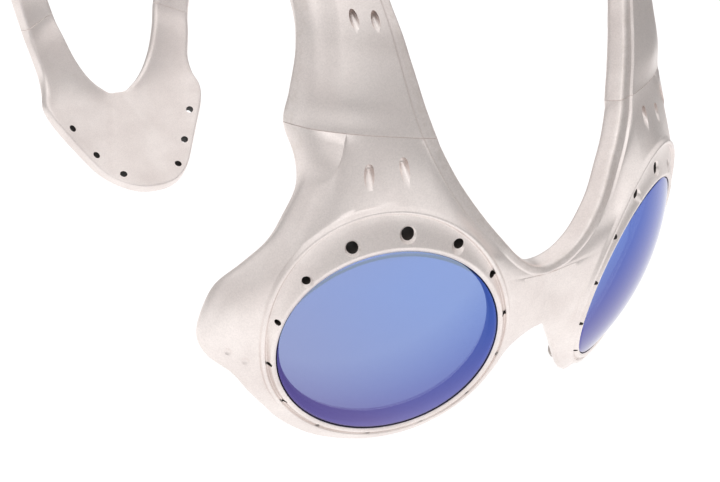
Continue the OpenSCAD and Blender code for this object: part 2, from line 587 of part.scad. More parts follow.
// A nose pad follows the rim, and faces the nose and the back
module nose_pad_body(extra) {
    side = pad_w / 2 + extra;
    deep = pad_sink + extra;
    mid_r = rim_out - 2.9;
    mid_c = skirt_c + 2.5;
    rotate([0, 0, 180 - 303 - pad_a / 2 - (extra > 0 ? 0.4 : 0)])
        rotate_extrude(angle = pad_a + (extra > 0 ? 0.8 : 0), $fn = 128)
            translate([mid_r, -mid_c])
                rotate(-65)
                    polygon([
                        [-deep, -side], [-deep, side], [pad_h * 0.5, side], [pad_h, side - pad_h],
                        [pad_h, pad_h - side], [pad_h * 0.5, -side]]);
}
module nose_pad(left) {
    color(RUBBER)
        standing()
            at_lens(left)
                nose_pad_body(0);
}
module right_nose_pad() nose_pad(false);
module left_nose_pad() nose_pad(true);
module right_lens() lens(false);
module left_lens() lens(true);

front_frame();
right_crown_band();
left_crown_band();
rear_yoke();
right_lens();
left_lens();
right_nose_pad();
left_nose_pad();
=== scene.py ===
"""Looks of a pair of over-the-head sports sunglasses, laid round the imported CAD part.

The file is laid out as a Blender add-on and is run as a script. Sizes are in
millimetres, as in the part's source, and meshes are written in metres. The
lens frame has a towards the nose, b up and c back from the lip of the rim. The
shapes are worked out for the left half in a world whose origin lies between the
lens centres, and the right half is its mirror image.
"""

import math
from typing import NamedTuple

import bmesh
import bpy
import numpy as np
from bpy.props import FloatProperty, FloatVectorProperty, IntProperty, PointerProperty
from mathutils import Matrix, Vector
from mathutils.kdtree import KDTree


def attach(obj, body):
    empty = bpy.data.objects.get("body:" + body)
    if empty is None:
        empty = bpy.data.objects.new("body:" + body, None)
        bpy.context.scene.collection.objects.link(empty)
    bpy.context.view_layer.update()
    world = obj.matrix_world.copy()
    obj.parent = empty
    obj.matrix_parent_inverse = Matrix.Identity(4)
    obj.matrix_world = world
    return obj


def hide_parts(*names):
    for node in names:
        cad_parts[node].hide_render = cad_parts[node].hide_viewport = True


bl_info = {
    "name": "Over-the-head sports sunglasses",
    "version": (1, 0, 0),
    "blender": (4, 5, 0),
    "location": "View3D > Sidebar > Eyewear",
    "description": "Dresses the packed sunglasses with shells, lenses, finishes and a studio",
    "category": "Object",
}

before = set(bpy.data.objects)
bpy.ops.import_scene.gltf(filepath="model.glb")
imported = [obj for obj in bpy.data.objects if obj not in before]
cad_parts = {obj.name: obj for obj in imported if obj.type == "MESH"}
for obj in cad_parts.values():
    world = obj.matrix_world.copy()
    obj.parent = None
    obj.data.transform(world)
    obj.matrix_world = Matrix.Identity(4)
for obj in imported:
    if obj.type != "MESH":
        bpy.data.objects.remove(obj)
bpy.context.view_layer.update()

MM = 0.001
FRAME_BODY = "frame"

# The two sides. A right piece is the left one mirrored across X.
SIDES = (("left", False), ("right", True))

# Sizes that the shapes share with the part's source, in millimetres
LENS_D = 44.8
DOME_R = 62
LENS_T = 2.2
LENS_PITCH = 69.6
WRAP = math.radians(22.4)
TILT = math.radians(12.3)
CLEAR = 0.15
LENS_SINK = 0.35
RIM_T = 6
SEAT_W = 1
RIM_DROP = 1.2
SKIRT_C = 4
EDGE_T = 5.4
OUTER_T = 4.5
EDGE_R = 1
BAND_T = YOKE_T = 4.3
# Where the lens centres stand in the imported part, back and above the floor
FRONT_Y = -97.45
LENS_HEIGHT = 27.1214

# The strip along an inner edge: its width, the run and depth of its step down
# from the face, and how much lower it lies at the edge itself
STRIP_W = 2.8
STRIP_RUN = 0.4
STRIP_D = 0.55
STRIP_FALL = 0.2
# The flange of an outer edge: where it is fullest, how far it swells there as a
# share of its width, and how far its edge lies under it
FLANGE_AT = 0.5
FLANGE_SWELL = 0.12
FLANGE_FALL = 0.25

# Places that follow from those sizes
LENS_X = LENS_PITCH / 2
OPEN_R = LENS_D / 2 + CLEAR
DOME_H = DOME_R - math.sqrt(DOME_R**2 - (LENS_D / 2) ** 2)
LENS_BACK = LENS_SINK - DOME_H + DOME_R - math.sqrt((DOME_R - LENS_T) ** 2 - (LENS_D / 2) ** 2)
SEAT_C = LENS_BACK + CLEAR


def unit(v):
    return v / np.linalg.norm(v)


def mix(a, b, u):
    return a + (b - a) * u


def curve(rows, i, u):
    """Catmull-Rom curve through the rows, from row i to the next."""
    a, b, c, d = rows[i - 1 : i + 3]
    return 0.5 * (
        2 * b + (c - a) * u + (2 * a - 5 * b + 4 * c - d) * u**2 + (3 * b - a - 3 * c + d) * u**3
    )


def slope(rows, i, u):
    """How that curve runs there."""
    a, b, c, d = rows[i - 1 : i + 3]
    return 0.5 * (
        (c - a) + 2 * (2 * a - 5 * b + 4 * c - d) * u + 3 * (3 * b - a - 3 * c + d) * u**2
    )


# The axes of the left lens
AXIS_A = np.array([-math.cos(WRAP), -math.sin(WRAP), 0])
AXIS_B = np.array(
    [math.sin(TILT) * math.sin(WRAP), -math.sin(TILT) * math.cos(WRAP), math.cos(TILT)]
)
AXIS_C = np.array(
    [-math.sin(WRAP) * math.cos(TILT), math.cos(WRAP) * math.cos(TILT), math.sin(TILT)]
)


def lens_point(a, b, c):
    """The point of the world at a place in the frame of the left lens."""
    return np.array([LENS_X, 0, 0]) + a * AXIS_A + b * AXIS_B + c * AXIS_C


def round_point(t, r, c):
    """The same for an angle from the nose side up, in degrees, and a radius."""
    t = math.radians(t)
    return lens_point(r * math.cos(t), r * math.sin(t), c)


def peak(t, at, fall):
    """A hump of height 1 round an angle, in degrees."""
    return max(math.cos(math.radians(t - at)), 0) ** fall


# Angle round a lens at which the rim is widest, and how fast it falls off
BROW_A = 101
BROW_FALL = 2.3
# Extra drop of the rim over the brow, and its fall from the lip to its middle
BROW_DROP = 1.7
MID_DROP = 0.6
# Bevel and width of the lip round a lens, the depth at which the bore meets the
# bevel, and the run of a side of the border
LIP_BEVEL = 0.35
LIP_W = 0.9
LIP_C = 0.28
BEAD_RUN = 0.35
# Flare of the bore behind the seat: how far it opens, and over what depth
FLARE_R = 0.57
FLARE_C = 1.6


def brow(t):
    """How much of the brow's extra width the rim has at an angle."""
    return peak(t, BROW_A, BROW_FALL)


# Share of the edge's radius at which its corner is cut
EDGE_CUT = 0.3


def edge(p, n, d, sizes):
    """The eight points of an edge at p, from the face over the edge to the back.
    n runs out of the face and d into it. The sizes are a strip's width, the run
    and depth of its step, its depth at the edge, and the thickness."""
    width, run, deep, edge_deep, thick = sizes
    return [
        p + d * (width + run),
        p + d * width - n * deep,
        p + d * EDGE_R - n * edge_deep,
        p + d * EDGE_CUT * EDGE_R - n * (edge_deep + EDGE_CUT * EDGE_R),
        p - n * (edge_deep + EDGE_R),
        p - n * (thick - EDGE_R),
        p + d * EDGE_CUT * EDGE_R - n * (thick - EDGE_CUT * EDGE_R),
        p + d * EDGE_R - n * thick,
    ]


# How far a knee is rounded down, as a share of its angle, and how far the
# rounding reaches into the face, in mm
KNEE_SHARE = 0.25
KNEE_REACH = 10


def knee_edge(p, knee, v, sizes, inward):
    """The same for an edge whose face ends at a knee, which is rounded down. v
    runs along the edge, and inward into the face. The sizes are where the flange
    is fullest, its swell, its fall at the edge, and the thickness."""
    full_at, swell, fall, thick = sizes
    d = unit(knee - p)
    n = unit(np.cross(v, d))
    top = mix(p, knee, full_at) + n * swell * np.linalg.norm(knee - p)
    rounded = knee + KNEE_SHARE * (inward * np.linalg.norm(top - knee) + top - knee)
    return [rounded, top] + edge(p, n, d, [0, 0, 0, fall, thick])[2:]


def knee_fall(start, knee, rounded, u):
    """How far a face has bent down to its rounded knee, a share u of the way there."""
    near = max(0, 1 - (1 - u) * np.linalg.norm(knee - start) / KNEE_REACH)
    return (rounded - knee) * near**3


def face_line(start, knee, rounded, count):
    """Points across a face, which bends down to its rounded knee."""
    shares = [(j + 1) / (count + 1) for j in range(count)]
    return [mix(start, knee, u) + knee_fall(start, knee, rounded, u) for u in shares]


# Steps round a corner, the number of points of an edge, the setbacks of its
# corners in mm, where SOFT is a smooth run, and how worn each corner is
CORNER_STEPS = 3
EDGE_N = 8
SOFT = 9
STRIP_CORNERS = [0.15, 0.15, SOFT, SOFT, SOFT, SOFT, SOFT, SOFT]
KNEE_CORNERS = [SOFT] * EDGE_N
STRIP_WEAR = [0.2, 0, 0.9, 0.9, 0.7, 0.2, 0.3, 0.1]
KNEE_WEAR = [0.1, 0, 0.8, 0.8, 0.6, 0.2, 0.3, 0.1]


def softened(points, corners, wear, closed):
    """Rounds each corner of a line by its setback, with CORNER_STEPS + 1 points for
    each, and gives the wear of each point."""
    points, steps = np.array(points, float), CORNER_STEPS
    count = len(points)
    made, worn = [], []
    for i in range(count):
        if not closed and i in (0, count - 1):
            made += [points[i]] * (steps + 1)
            worn += [wear[i]] * (steps + 1)
            continue
        before, here, after = points[i - 1], points[i], points[(i + 1) % count]
        one, two = np.linalg.norm(before - here), np.linalg.norm(after - here)
        start = here + (before - here) * min(0.5, corners[i] / max(one, 1e-6))
        end = here + (after - here) * min(0.5, corners[i] / max(two, 1e-6))
        for j in range(steps + 1):
            u = j / steps
            made.append((1 - u) ** 2 * start + 2 * u * (1 - u) * here + u * u * end)
            worn.append(wear[i])
    return np.array(made), np.array(worn)


def open_line(before, points, after, corners, wear):
    """The same for points on a line that goes on to one more point at each end."""
    line, worn = softened([before, *points, after], [0, *corners, 0], [0, *wear, 0], False)
    inside = slice(CORNER_STEPS + 1, -CORNER_STEPS - 1)
    return line[inside], worn[inside]


def skewed(across, n, square):
    """The way into a face at a right angle to n, as long as makes it 1 along square."""
    a = across - n * (across @ n)
    return a / (a @ square)


def section(q, v, mids):
    """A section across a band or the yoke at a row q that runs along v: its inner
    and outer edge, and the points between them in front and behind."""
    i, o, knee = q[0:3], q[3:6], q[6:9]
    strip, flange = q[9:13], q[13:16]
    lean, inner_t, outer_t, crowned = q[16:20]
    vi, vo = unit(v[0:3]), unit(v[3:6])
    across = unit(knee - i)
    face = unit(np.cross(across, vi + vo))
    ni = face - across * lean
    ni = unit(ni - vi * (ni @ vi))
    a = edge(i, ni, skewed(across, ni, np.cross(vi, ni)), [*strip, inner_t])
    b = knee_edge(o, knee, vo, [*flange, outer_t], -across)
    front = face_line(a[0], knee, b[0], mids)
    back = []
    for j in range(mids):
        u = (j + 1) / (mids + 1)
        crown = face * crowned * 4 * u * (1 - u)
        front[j] = front[j] + crown
        back.append(mix(a[7], b[7], u) + crown)
    return a, b, front, back


def band_row(i, o, knee, narrower, lean, inner_t, outer_t, crown):
    """A row of a band: its inner edge, outer edge and knee, how much narrower than
    full its strip is, the lean of the strip, both thicknesses and the crown."""
    strip = [STRIP_W - narrower, STRIP_RUN, STRIP_D, STRIP_D + STRIP_FALL]
    flange = [FLANGE_AT, FLANGE_SWELL, FLANGE_FALL]
    return np.array([*i, *o, *knee, *strip, *flange, lean, inner_t, outer_t, crown], float)


# What neighbouring rows share behind that: by the front moulding, along the band,
# and where a band has thinned out to the yoke
STUB = (0, 0.05, EDGE_T, OUTER_T, 0.3)
THIN = (1, 0.08, BAND_T, BAND_T, 0.6)
REAR = (1, 0.1, YOKE_T, YOKE_T, 0.6)
# The yoke's knee: how far in from its outer edge, and how it is moved from there
YOKE_KNEE = 0.18
YOKE_KNEE_MOVE = [0, 0.4, -0.2]


def yoke_row(i, o, crown):
    """The same for the yoke, whose knee lies close to its outer edge."""
    knee = mix(np.array(o, float), np.array(i, float), YOKE_KNEE) + YOKE_KNEE_MOVE
    return band_row(i, o, knee, *REAR[:4], crown)


# Where a band meets the yoke, the band from the front moulding to there, and
# the yoke from there to its lower tip. The first and the last row of a table only
# guide the curve.
REAR_SEAM = [
    band_row([22, 204.9, 40.4], [33.5, 200.8, 37.6], [29.5, 202.8, 38.6], *REAR),
    band_row([19, 205.3, 27.3], [30.6, 200.6, 23.5], [26.5, 202.8, 24.7], *REAR),
    band_row([16.5, 202.4, 19.4], [28.9, 198.7, 15.4], [24.6, 200.5, 16.8], *REAR),
]
BAND = [
    band_row([23.7, -2.8, 36.8], [50.2, 12.2, 38.6], [45.5, 4, 38], *STUB),
    band_row([25.7, -1.4, 41.3], [51.1, 14.1, 44.6], [43.1, 5.2, 43.3], *STUB),
    band_row([27.4, 0.5, 47.2], [50, 13.9, 50.4], [43.6, 6.4, 49.6], *STUB),
    band_row(
        [29.3, 3.2, 55.6], [48.3, 14, 58.8], [42.2, 9, 57.6],
        0.4, 0.05, EDGE_T - 0.2, OUTER_T, 0.3,
    ),
    band_row(
        [31, 7.1, 64.9], [47.7, 16.4, 67.7], [41, 12.6, 67],
        0.8, 0.06, EDGE_T - 0.4, OUTER_T, 0.4,
    ),
    band_row(
        [32.9, 18.8, 82.7], [47.6, 25.4, 81.8], [41, 21.4, 83.2],
        1, 0.06, BAND_T + 0.6, BAND_T, 0.5,
    ),
    band_row(
        [34.2, 42.3, 100.6], [47.9, 46.1, 95.9], [42.7, 44, 98.8],
        1, 0.08, BAND_T + 0.2, BAND_T, 0.5,
    ),
    band_row([34.8, 75.2, 112.3], [47.9, 75.2, 105.8], [43.8, 75.2, 109], *THIN),
    band_row([34.2, 110.9, 113.7], [47, 110, 107.2], [42.9, 110.3, 110.3], *THIN),
    band_row([32.5, 145.7, 105.3], [44.7, 143.8, 99.6], [40.7, 144.9, 102.2], *THIN),
    band_row([29.7, 175.8, 86.5], [41.5, 173, 82.2], [37.6, 174.5, 84.1], *REAR),
    band_row([25.9, 196.5, 62], [37.4, 193.2, 58.8], [33.5, 195, 60.1], *REAR),
] + REAR_SEAM
# How far the yoke's tip would reach below the floor if its edge weren't rounded,
# and the height of that point
YOKE_DIP = 0.8
YOKE_LOW = -LENS_HEIGHT - YOKE_DIP
YOKE = REAR_SEAM + [
    yoke_row([14, 200.7, 12.2], [27.7, 196.8, 8.6], 0.6),
    yoke_row([11, 199.6, 6.2], [27.9, 194.3, 3.2], 0.8),
    yoke_row([8.1, 199, 2.2], [29, 191, -1.3], 1),
    yoke_row([5.5, 198.7, -0.3], [27.4, 187.2, -6.4], 1.2),
    yoke_row([3.6, 198.5, -1.6], [22.9, 183, -13.8], 1.2),
    yoke_row([2.1, 198.4, -2.1], [16.4, 177, -22.4], 1.2),
    yoke_row([0.9, 198.4, -2.3], [8.4, 170.6, YOKE_LOW + 1], 1.2),
    yoke_row([0, 198.4, -2.4], [0, 168.4, YOKE_LOW], 1.2),
]
# The first row past the middle, which the curve to the middle needs
YOKE.append(YOKE[-2].copy())
YOKE[-1][[0, 3, 6]] *= -1
# Points across and sections between two rows
BAND_MIDS, BAND_STEPS = 12, 10
YOKE_MIDS, YOKE_STEPS = 12, 8


# What a strip's width runs out to where there is no strip
STRIP_END_W = 1.7
# The skirt's knee: how far inside its edge and how far in front of it, and how far
# the edge lies under the face
SKIRT_KNEE_IN = 1.1
SKIRT_KNEE_FORE = 0.9
SKIRT_FALL = 0.2


def upper_row(t, p, share, flare, bulge):
    """A row of the inner edge over the brow: its angle, its place, how much of the
    strip it has, and the flare and the bulge of the face."""
    strip = [mix(STRIP_END_W, STRIP_W, share), STRIP_RUN, STRIP_D * share]
    strip.append(mix(FLANGE_FALL, STRIP_D + STRIP_FALL, share))
    return np.array([t, *p, *strip, EDGE_T, flare, bulge, t], float)


def outer_row(t, p, knee, share, turned, flare, bulge):
    """A row of the outer edge: its angle, its place, its knee, how much of the
    flange's swell it has, the angle that the face is turned to, and the flare
    and the bulge of the face."""
    flange = [FLANGE_AT, FLANGE_SWELL * share, FLANGE_FALL, OUTER_T]
    return np.array([t, *p, *knee, *flange, flare, bulge, turned], float)


def skirt_row(t, r, c, thick, flare, rim_out):
    """A row of the skirt below the rim, given by how it stands off from the rim."""
    r, c = rim_out + r, SKIRT_C + c
    p, knee = round_point(t, r, c), round_point(t, r - SKIRT_KNEE_IN, c - SKIRT_KNEE_FORE)
    return np.array([t, *p, *knee, FLANGE_AT, 0, SKIRT_FALL, thick, flare, 0, t], float)


UPPER = [
    upper_row(24, [-4.5, -8.1, 13.1], 0, 0.45, 0),
    upper_row(27, [0, -7.5, 11.8], 0, 0.49, 0),
    upper_row(31, [4.5, -8.1, 13.1], 0, 0.45, 0),
    upper_row(36, [8.8, -8.3, 16], 0, 0.42, 0),
    upper_row(42, [12.3, -8, 19.6], 0.2, 0.4, 0),
    upper_row(50, [16.1, -7, 24.1], 0.7, 0.4, -0.2),
    upper_row(58, [19.6, -5.2, 29.3], 1, 0.45, -0.4),
    upper_row(66, [22.7, -3.6, 34.5], 1, 0.5, -0.6),
    upper_row(74, [25.7, -1.4, 41.3], 1, 0.55, -0.8),
    upper_row(80, [27.4, 0.5, 47.2], 1, 0.55, -0.8),
]
UPPER_END = len(UPPER) - 2
OUTER_BROW = [
    outer_row(110, [50, 13.9, 50.4], [43.6, 6.4, 49.6], 1, 172, 0.42, 0),
    outer_row(113, [51.1, 14.1, 44.6], [43.1, 5.2, 43.3], 1, 172, 0.42, 0),
    outer_row(116, [50.2, 12.2, 38.6], [45.5, 4, 38], 1, 168, 0.45, 0),
    outer_row(120, [49.9, 12.2, 32.9], [49, 5.9, 33.6], 1, 164, 0.5, 0.1),
    outer_row(126, [51.9, 13.4, 27.3], [51.9, 7.3, 28], 0.9, 158, 0.55, 0.2),
    outer_row(135, [54.4, 14.9, 22.1], [54.8, 8.9, 23], 0.8, 155, 0.6, 0),
    outer_row(146, [58.3, 17.7, 17.4], [58, 11.9, 17.8], 0.8, 157, 0.6, 0.2),
    outer_row(157, [62.6, 20.9, 12.5], [61.4, 15.7, 12.6], 0.5, 162, 0.6, 0.4),
    outer_row(168, [65.4, 21.9, 6.4], [63.8, 18.1, 6.8], 0.2, 170, 0.6, 0.6),
    outer_row(177, [66.4, 21.6, 1.5], [64.9, 19.1, 2], 0, 178, 0.6, 0.6),
    outer_row(185, [65.1, 19.5, -2.4], [63.4, 17.5, -1.6], 0, 186, 0.65, 0.6),
    outer_row(194, [61.5, 16.4, -6], [60.2, 14.6, -5], 0, 195, 0.7, 0.5),
    outer_row(206, [57.8, 15.4, -11.4], [56.5, 13.8, -10.4], 0, 206, 0.8, 0.3),
]
# Skirt below the rim: angle, how much further out and back it stands than the
# rim, thickness and flare
SKIRT = [
    (223, 0.3, 0.2, 4, 0.9),
    (240, 0.2, 0, 3.4, 1),
    (256, 0, 0, 3.2, 1),
    (272, 0, 0, 3.2, 1),
    (288, -0.2, -0.2, 3.8, 1),
    (304, -0.9, -0.6, 4, 1),
    (320, -1.1, -0.5, 4, 1),
    (333, -0.6, 0.3, 3.8, 0.9),
    (343, 0.6, 1.5, 3.4, 0.8),
]
OUTER_BRIDGE = [
    outer_row(350, [2.7, -5.3, -4.3], [3.1, -6.4, -3.2], 0, 350, 0.6, 0),
    outer_row(355, [0, -7.1, -2.4], [0, -7.9, -1.1], 0, 355, 0.55, 0),
    outer_row(360, [-2.7, -5.3, -4.3], [-3.1, -6.4, -3.2], 0, 360, 0.6, 0),
]


def face_normal(t, flare):
    """The way out of a face that flares away from the lens at an angle."""
    radial = round_point(t, 1, 0) - lens_point(0, 0, 0)
    return unit(-AXIS_C + radial * flare)


def upper_edge(q, v):
    """The edge at a row q of the inner edge that runs along v."""
    flare, _, turned = q[-3:]
    w = unit(v[1:4])
    n = face_normal(turned, flare)
    n = unit(n - w * (n @ w))
    return edge(q[1:4], n, np.cross(w, n), q[4:9])


def outer_edge(q, v):
    """The same for a row of the outer edge."""
    flare, _, turned = q[-3:]
    p, knee = q[1:4], q[4:7]
    inward = unit(np.cross(face_normal(turned, flare), v[4:7]))
    if inward @ (knee - p) < 0:
        inward = -inward
    return knee_edge(p, knee, unit(-v[1:4]), q[7:11], inward)


class Settings:
    """Sizes of the front moulding in millimetres, read from the panel."""

    def __init__(self, shell):
        self.rim_w = shell.rim_width / MM
        self.brow_h = shell.brow_width / MM
        self.bead_h = shell.bead_height / MM
        self.bead_w = shell.bead_width / MM
        self.rim_out = OPEN_R + self.rim_w + shell.skirt_flare / MM
        self.vents = shell.vent_count
        self.vent_d = shell.vent_diameter / MM
        self.small_vent_d = shell.small_vent_diameter / MM
        self.scoop_w = shell.scoop_width / MM


# Points of the rim's profile, of which the first few are unlacquered dark nylon that also paints
# the shade of the bore and seat behind the lens, and the number of the first point of the face in a
# closed line
RIM_N = 12
NYLON_SHADE_N = 4
FACE_FIRST = RIM_N * (CORNER_STEPS + 1)
# Steps between two rows of an edge, spokes across the band's seam and across the
# bridge, and points across a face
EDGE_STEPS = 6
SEAM_N = 22
BRIDGE_N = 10
FACE_N = 22
BRIDGE_FLARE = 0.5
# Width of the moulding's back behind the rim, and the points under the face: the
# share of the way from the edge to that back, and the share of the face's bulge
BACK_W = 2.4
UNDER = ((0.35, 0.8), (0.7, 0.5))


def rim_profile(t, s):
    """Points from the back of the bore over the lip to the border, with their
    corners and wear."""
    r = OPEN_R + s.rim_w + s.brow_h * brow(t)
    c = RIM_DROP + BROW_DROP * brow(t)
    bead_r = r - s.bead_w
    # Radius, depth, setback of the corner, and wear
    line = [
        (OPEN_R - SEAT_W + FLARE_R, RIM_T, 0.3, 0),
        (OPEN_R - SEAT_W, RIM_T - FLARE_C, 0.4, 0),
        (OPEN_R - SEAT_W, SEAT_C, 0.1, 0),
        (OPEN_R, SEAT_C, 0.05, 0),
        (OPEN_R, LIP_C, 0.1, 0.5),
        (OPEN_R + LIP_BEVEL, LIP_BEVEL / 3, 0.15, 0.9),
        (OPEN_R + LIP_W, 0, 0.3, 0.1),
        (mix(OPEN_R + LIP_W, bead_r - BEAD_RUN, 0.5), c * MID_DROP, SOFT, 0),
        (bead_r - BEAD_RUN, c, 0.25, 0),
        (bead_r, c - s.bead_h, 0.25, 0.3),
        (r - 0.25, c - s.bead_h + 0.1, 0.3, 0.3),
        (r + 0.1, c + 0.45, 0.35, 0),
    ]
    return [round_point(t, p[0], p[1]) for p in line], [p[2] for p in line], [p[3] for p in line]


class Spoke(NamedTuple):
    """A spoke round a lens, from the rim to the moulding's edge: its angle, the
    bulge and the flare of the face, the points of the edge, the angle that the
    face is turned to, the knee before it was rounded, and the corners and wear of
    the edge, which are missing where it is left open to its neighbours. A seam
    gives the points beside the edge as well."""

    angle: float
    bulge: float
    flare: float
    edge: list
    turned: float
    knee: np.ndarray
    corners: list = None
    wear: list = None
    beside: tuple = None


def front_spokes(s):
    """The spokes of the left half, with the numbers of the first and the last one
    at the band's seam and of the last one before the bridge."""
    outer = OUTER_BROW + [skirt_row(*row, s.rim_out) for row in SKIRT] + OUTER_BRIDGE
    outer_end = len(outer) - 2
    strip, flank = (STRIP_CORNERS, STRIP_WEAR), (KNEE_CORNERS, KNEE_WEAR)
    spokes = []
    for i in range(1, UPPER_END):
        for j in range(EDGE_STEPS):
            q, v = curve(UPPER, i, j / EDGE_STEPS), slope(UPPER, i, j / EDGE_STEPS)
            e = upper_edge(q, v)
            spokes.append(Spoke(q[0], q[10], q[9], e, q[11], e[0], *strip))
    seam_first = len(spokes)
    inner, flange, front, back = section(curve(BAND, 1, 0), slope(BAND, 1, 0), SEAM_N)
    start, end = UPPER[UPPER_END], outer[1]
    knee, beside = inner[0], (front[0], back[0])
    spokes.append(Spoke(start[0], start[10], start[9], inner, start[0], knee, *strip, beside))
    for j in range(SEAM_N):
        u = (j + 1) / (SEAM_N + 1)
        t = mix(start[0], end[0], u)
        bulge, flare = mix(start[10], end[12], u), mix(start[9], end[11], u)
        knee = front[j] - knee_fall(inner[0], end[4:7], flange[0], u)
        spokes.append(Spoke(t, bulge, flare, [front[j]] * 4 + [back[j]] * 4, t, knee))
    knee, beside = end[4:7], (front[-1], back[-1])
    spokes.append(Spoke(end[0], end[12], end[11], flange, end[13], knee, *flank, beside))
    seam_last = len(spokes) - 1
    for i in range(1, outer_end):
        for j in range(1, EDGE_STEPS + 1):
            q, v = curve(outer, i, j / EDGE_STEPS), slope(outer, i, j / EDGE_STEPS)
            spokes.append(Spoke(q[0], q[12], q[11], outer_edge(q, v), q[13], q[4:7], *flank))
    low_spoke = len(spokes) - 1
    end = outer[outer_end]
    low = outer_edge(end, slope(outer, outer_end - 1, 1))
    top = upper_edge(UPPER[1], slope(UPPER, 1, 0))
    for j in range(BRIDGE_N):
        u = (j + 1) / (BRIDGE_N + 1)
        t = mix(end[0], UPPER[1][0] + 360, u)
        e = [mix(end[4:7], top[0], u)] * 4 + [mix(low[7], top[7], u)] * 4
        spokes.append(Spoke(t, 0, BRIDGE_FLARE, e, t, e[0]))
    return spokes, seam_first, seam_last, low_spoke


def front_loop(spoke, s):
    """One closed line round the moulding at a spoke, and its wear."""
    e = spoke.edge
    rim, rim_corners, rim_wear = rim_profile(spoke.angle, s)
    n = face_normal(spoke.turned, spoke.flare)
    face = face_line(rim[-1], spoke.knee, e[0], FACE_N)
    for i in range(FACE_N):
        u = (i + 1) / (FACE_N + 1)
        face[i] = face[i] + n * spoke.bulge * 4 * u * (1 - u)
    back = round_point(spoke.angle, OPEN_R + BACK_W, RIM_T)
    under = [mix(e[7], back, at) + n * spoke.bulge * share for at, share in UNDER] + [back]
    one, worn_one = open_line(back, rim, face[0], rim_corners, rim_wear)
    if spoke.corners is None:
        edge_line = np.repeat(np.array(e), CORNER_STEPS + 1, axis=0)
        worn_edge = np.zeros(len(edge_line))
    else:
        before, after = spoke.beside or (face[-1], under[0])
        edge_line, worn_edge = open_line(before, e, after, spoke.corners, spoke.wear)
    two, worn_two = open_line(e[7], under, rim[0], [SOFT, SOFT, 0.5], [0, 0, 0])
    return (
        np.concatenate([one, face, edge_line, two]),
        np.concatenate([worn_one, np.zeros(FACE_N), worn_edge, worn_two]),
    )


# Passes that soften the crease below the outer end of the seam, how many
# spokes to each side they take in, and how fast they fade towards the edge
CREASE_PASSES = 24
CREASE_SPOKES = 12
CREASE_FADE = 9


def front_loops(spokes, seam_last, s):
    """All the closed lines of the left half, with the crease below the seam softened."""
    loops = [front_loop(spoke, s) for spoke in spokes]
    face = slice(FACE_FIRST, FACE_FIRST + FACE_N)
    left = 1 - (np.arange(FACE_N) + 1) / (FACE_N + 1)
    amount = 0.5 * np.minimum(1, CREASE_FADE * left)[:, None]
    near = range(seam_last - CREASE_SPOKES, seam_last + CREASE_SPOKES + 1)
    for _ in range(CREASE_PASSES):
        before = {a: loops[a][0][face].copy() for a in range(near[0] - 1, near[-1] + 2)}
        for a in near:
            even = (before[a - 1] + before[a + 1]) / 2
            loops[a][0][face] = mix(before[a], even, amount)
    return loops


def build_mesh(name, points, faces, wear):
    """A mesh of points in metres, with how worn each of them is."""
    mesh = bpy.data.meshes.new(name)
    mesh.from_pydata([tuple(p) for p in points], [], [tuple(f) for f in faces])
    attribute = mesh.attributes.new("edge_wear", "FLOAT", "POINT")
    attribute.data.foreach_set("value", np.array(wear, np.float32))
    return mesh


def tidy(mesh, distance=1e-6):
    """Merges doubles, drops faces with no area and points the faces outwards."""
    bm = bmesh.new()
    bm.from_mesh(mesh)
    bmesh.ops.remove_doubles(bm, verts=bm.verts, dist=distance)
    bmesh.ops.dissolve_degenerate(bm, dist=distance * 0.1, edges=bm.edges)
    bmesh.ops.recalc_face_normals(bm, faces=bm.faces)
    loose = [v for v in bm.verts if not v.link_faces]
    bmesh.ops.delete(bm, geom=loose, context="VERTS")
    bm.to_mesh(mesh)
    bm.free()
    mesh.update()


def standing(points):
    """Moves points of the shapes' world to where the part stands, in metres."""
    return (np.array(points) + [0, FRONT_Y, LENS_HEIGHT]) * MM


def front_moulding_mesh(s):
    """The front moulding before its vents and scoops are cut, and the spokes and
    closed lines of its left half."""
    spokes, seam_first, seam_last, low_spoke = front_spokes(s)
    loops = front_loops(spokes, seam_last, s)
    n, k, count = len(loops[0][0]), CORNER_STEPS, len(loops)
    edge_first = FACE_FIRST + FACE_N
    front_last = edge_first + k // 2
    back_first = edge_first + EDGE_N * (k + 1) - 1 - k // 2
    # The edge of the first spoke and of those round the bridge lies on the middle plane
    for a in [0, *range(low_spoke, count)]:
        loops[a][0][front_last : back_first + 1, 0] = 0
    half = np.concatenate([loop[0] for loop in loops])
    wear = np.concatenate([loop[1] for loop in loops])
    faces, nylon_shade_faces = [], []
    for a in range(count):
        b = (a + 1) % count
        is_open = spokes[a].corners is None or spokes[b].corners is None
        for i in range(n):
            j = (i + 1) % n
            if is_open and front_last <= i < back_first:
                continue
            faces.append((a * n + i, a * n + j, b * n + j, b * n + i))
            # The lacquer stops at the lip; the bore and the seat get the dark unlacquered nylon,
            # which also paints the shade of the gap round the lens
            nylon_shade_faces.append(k + 1 <= i < NYLON_SHADE_N * (k + 1))
    # The face that the band's seam meets
    for a in range(seam_first, seam_last):
        one, two = a * n, (a + 1) * n
        faces.append((one + front_last, one + back_first, two + back_first, two + front_last))
    for a, flip in ((seam_first, False), (seam_last, True)):
        ring = [a * n + i for i in range(front_last, back_first + 1)]
        faces.append(ring if flip else ring[::-1])
    points = np.concatenate([half, half * [-1, 1, 1]])
    both = faces + [[i + len(half) for i in face][::-1] for face in faces]
    mesh = build_mesh("front_moulding", standing(points), both, np.concatenate([wear, wear]))
    nylon_shade_faces += [False] * (len(faces) - len(nylon_shade_faces))
    mesh.polygons.foreach_set("material_index", [int(value) for value in nylon_shade_faces + nylon_shade_faces])
    return mesh, spokes, loops


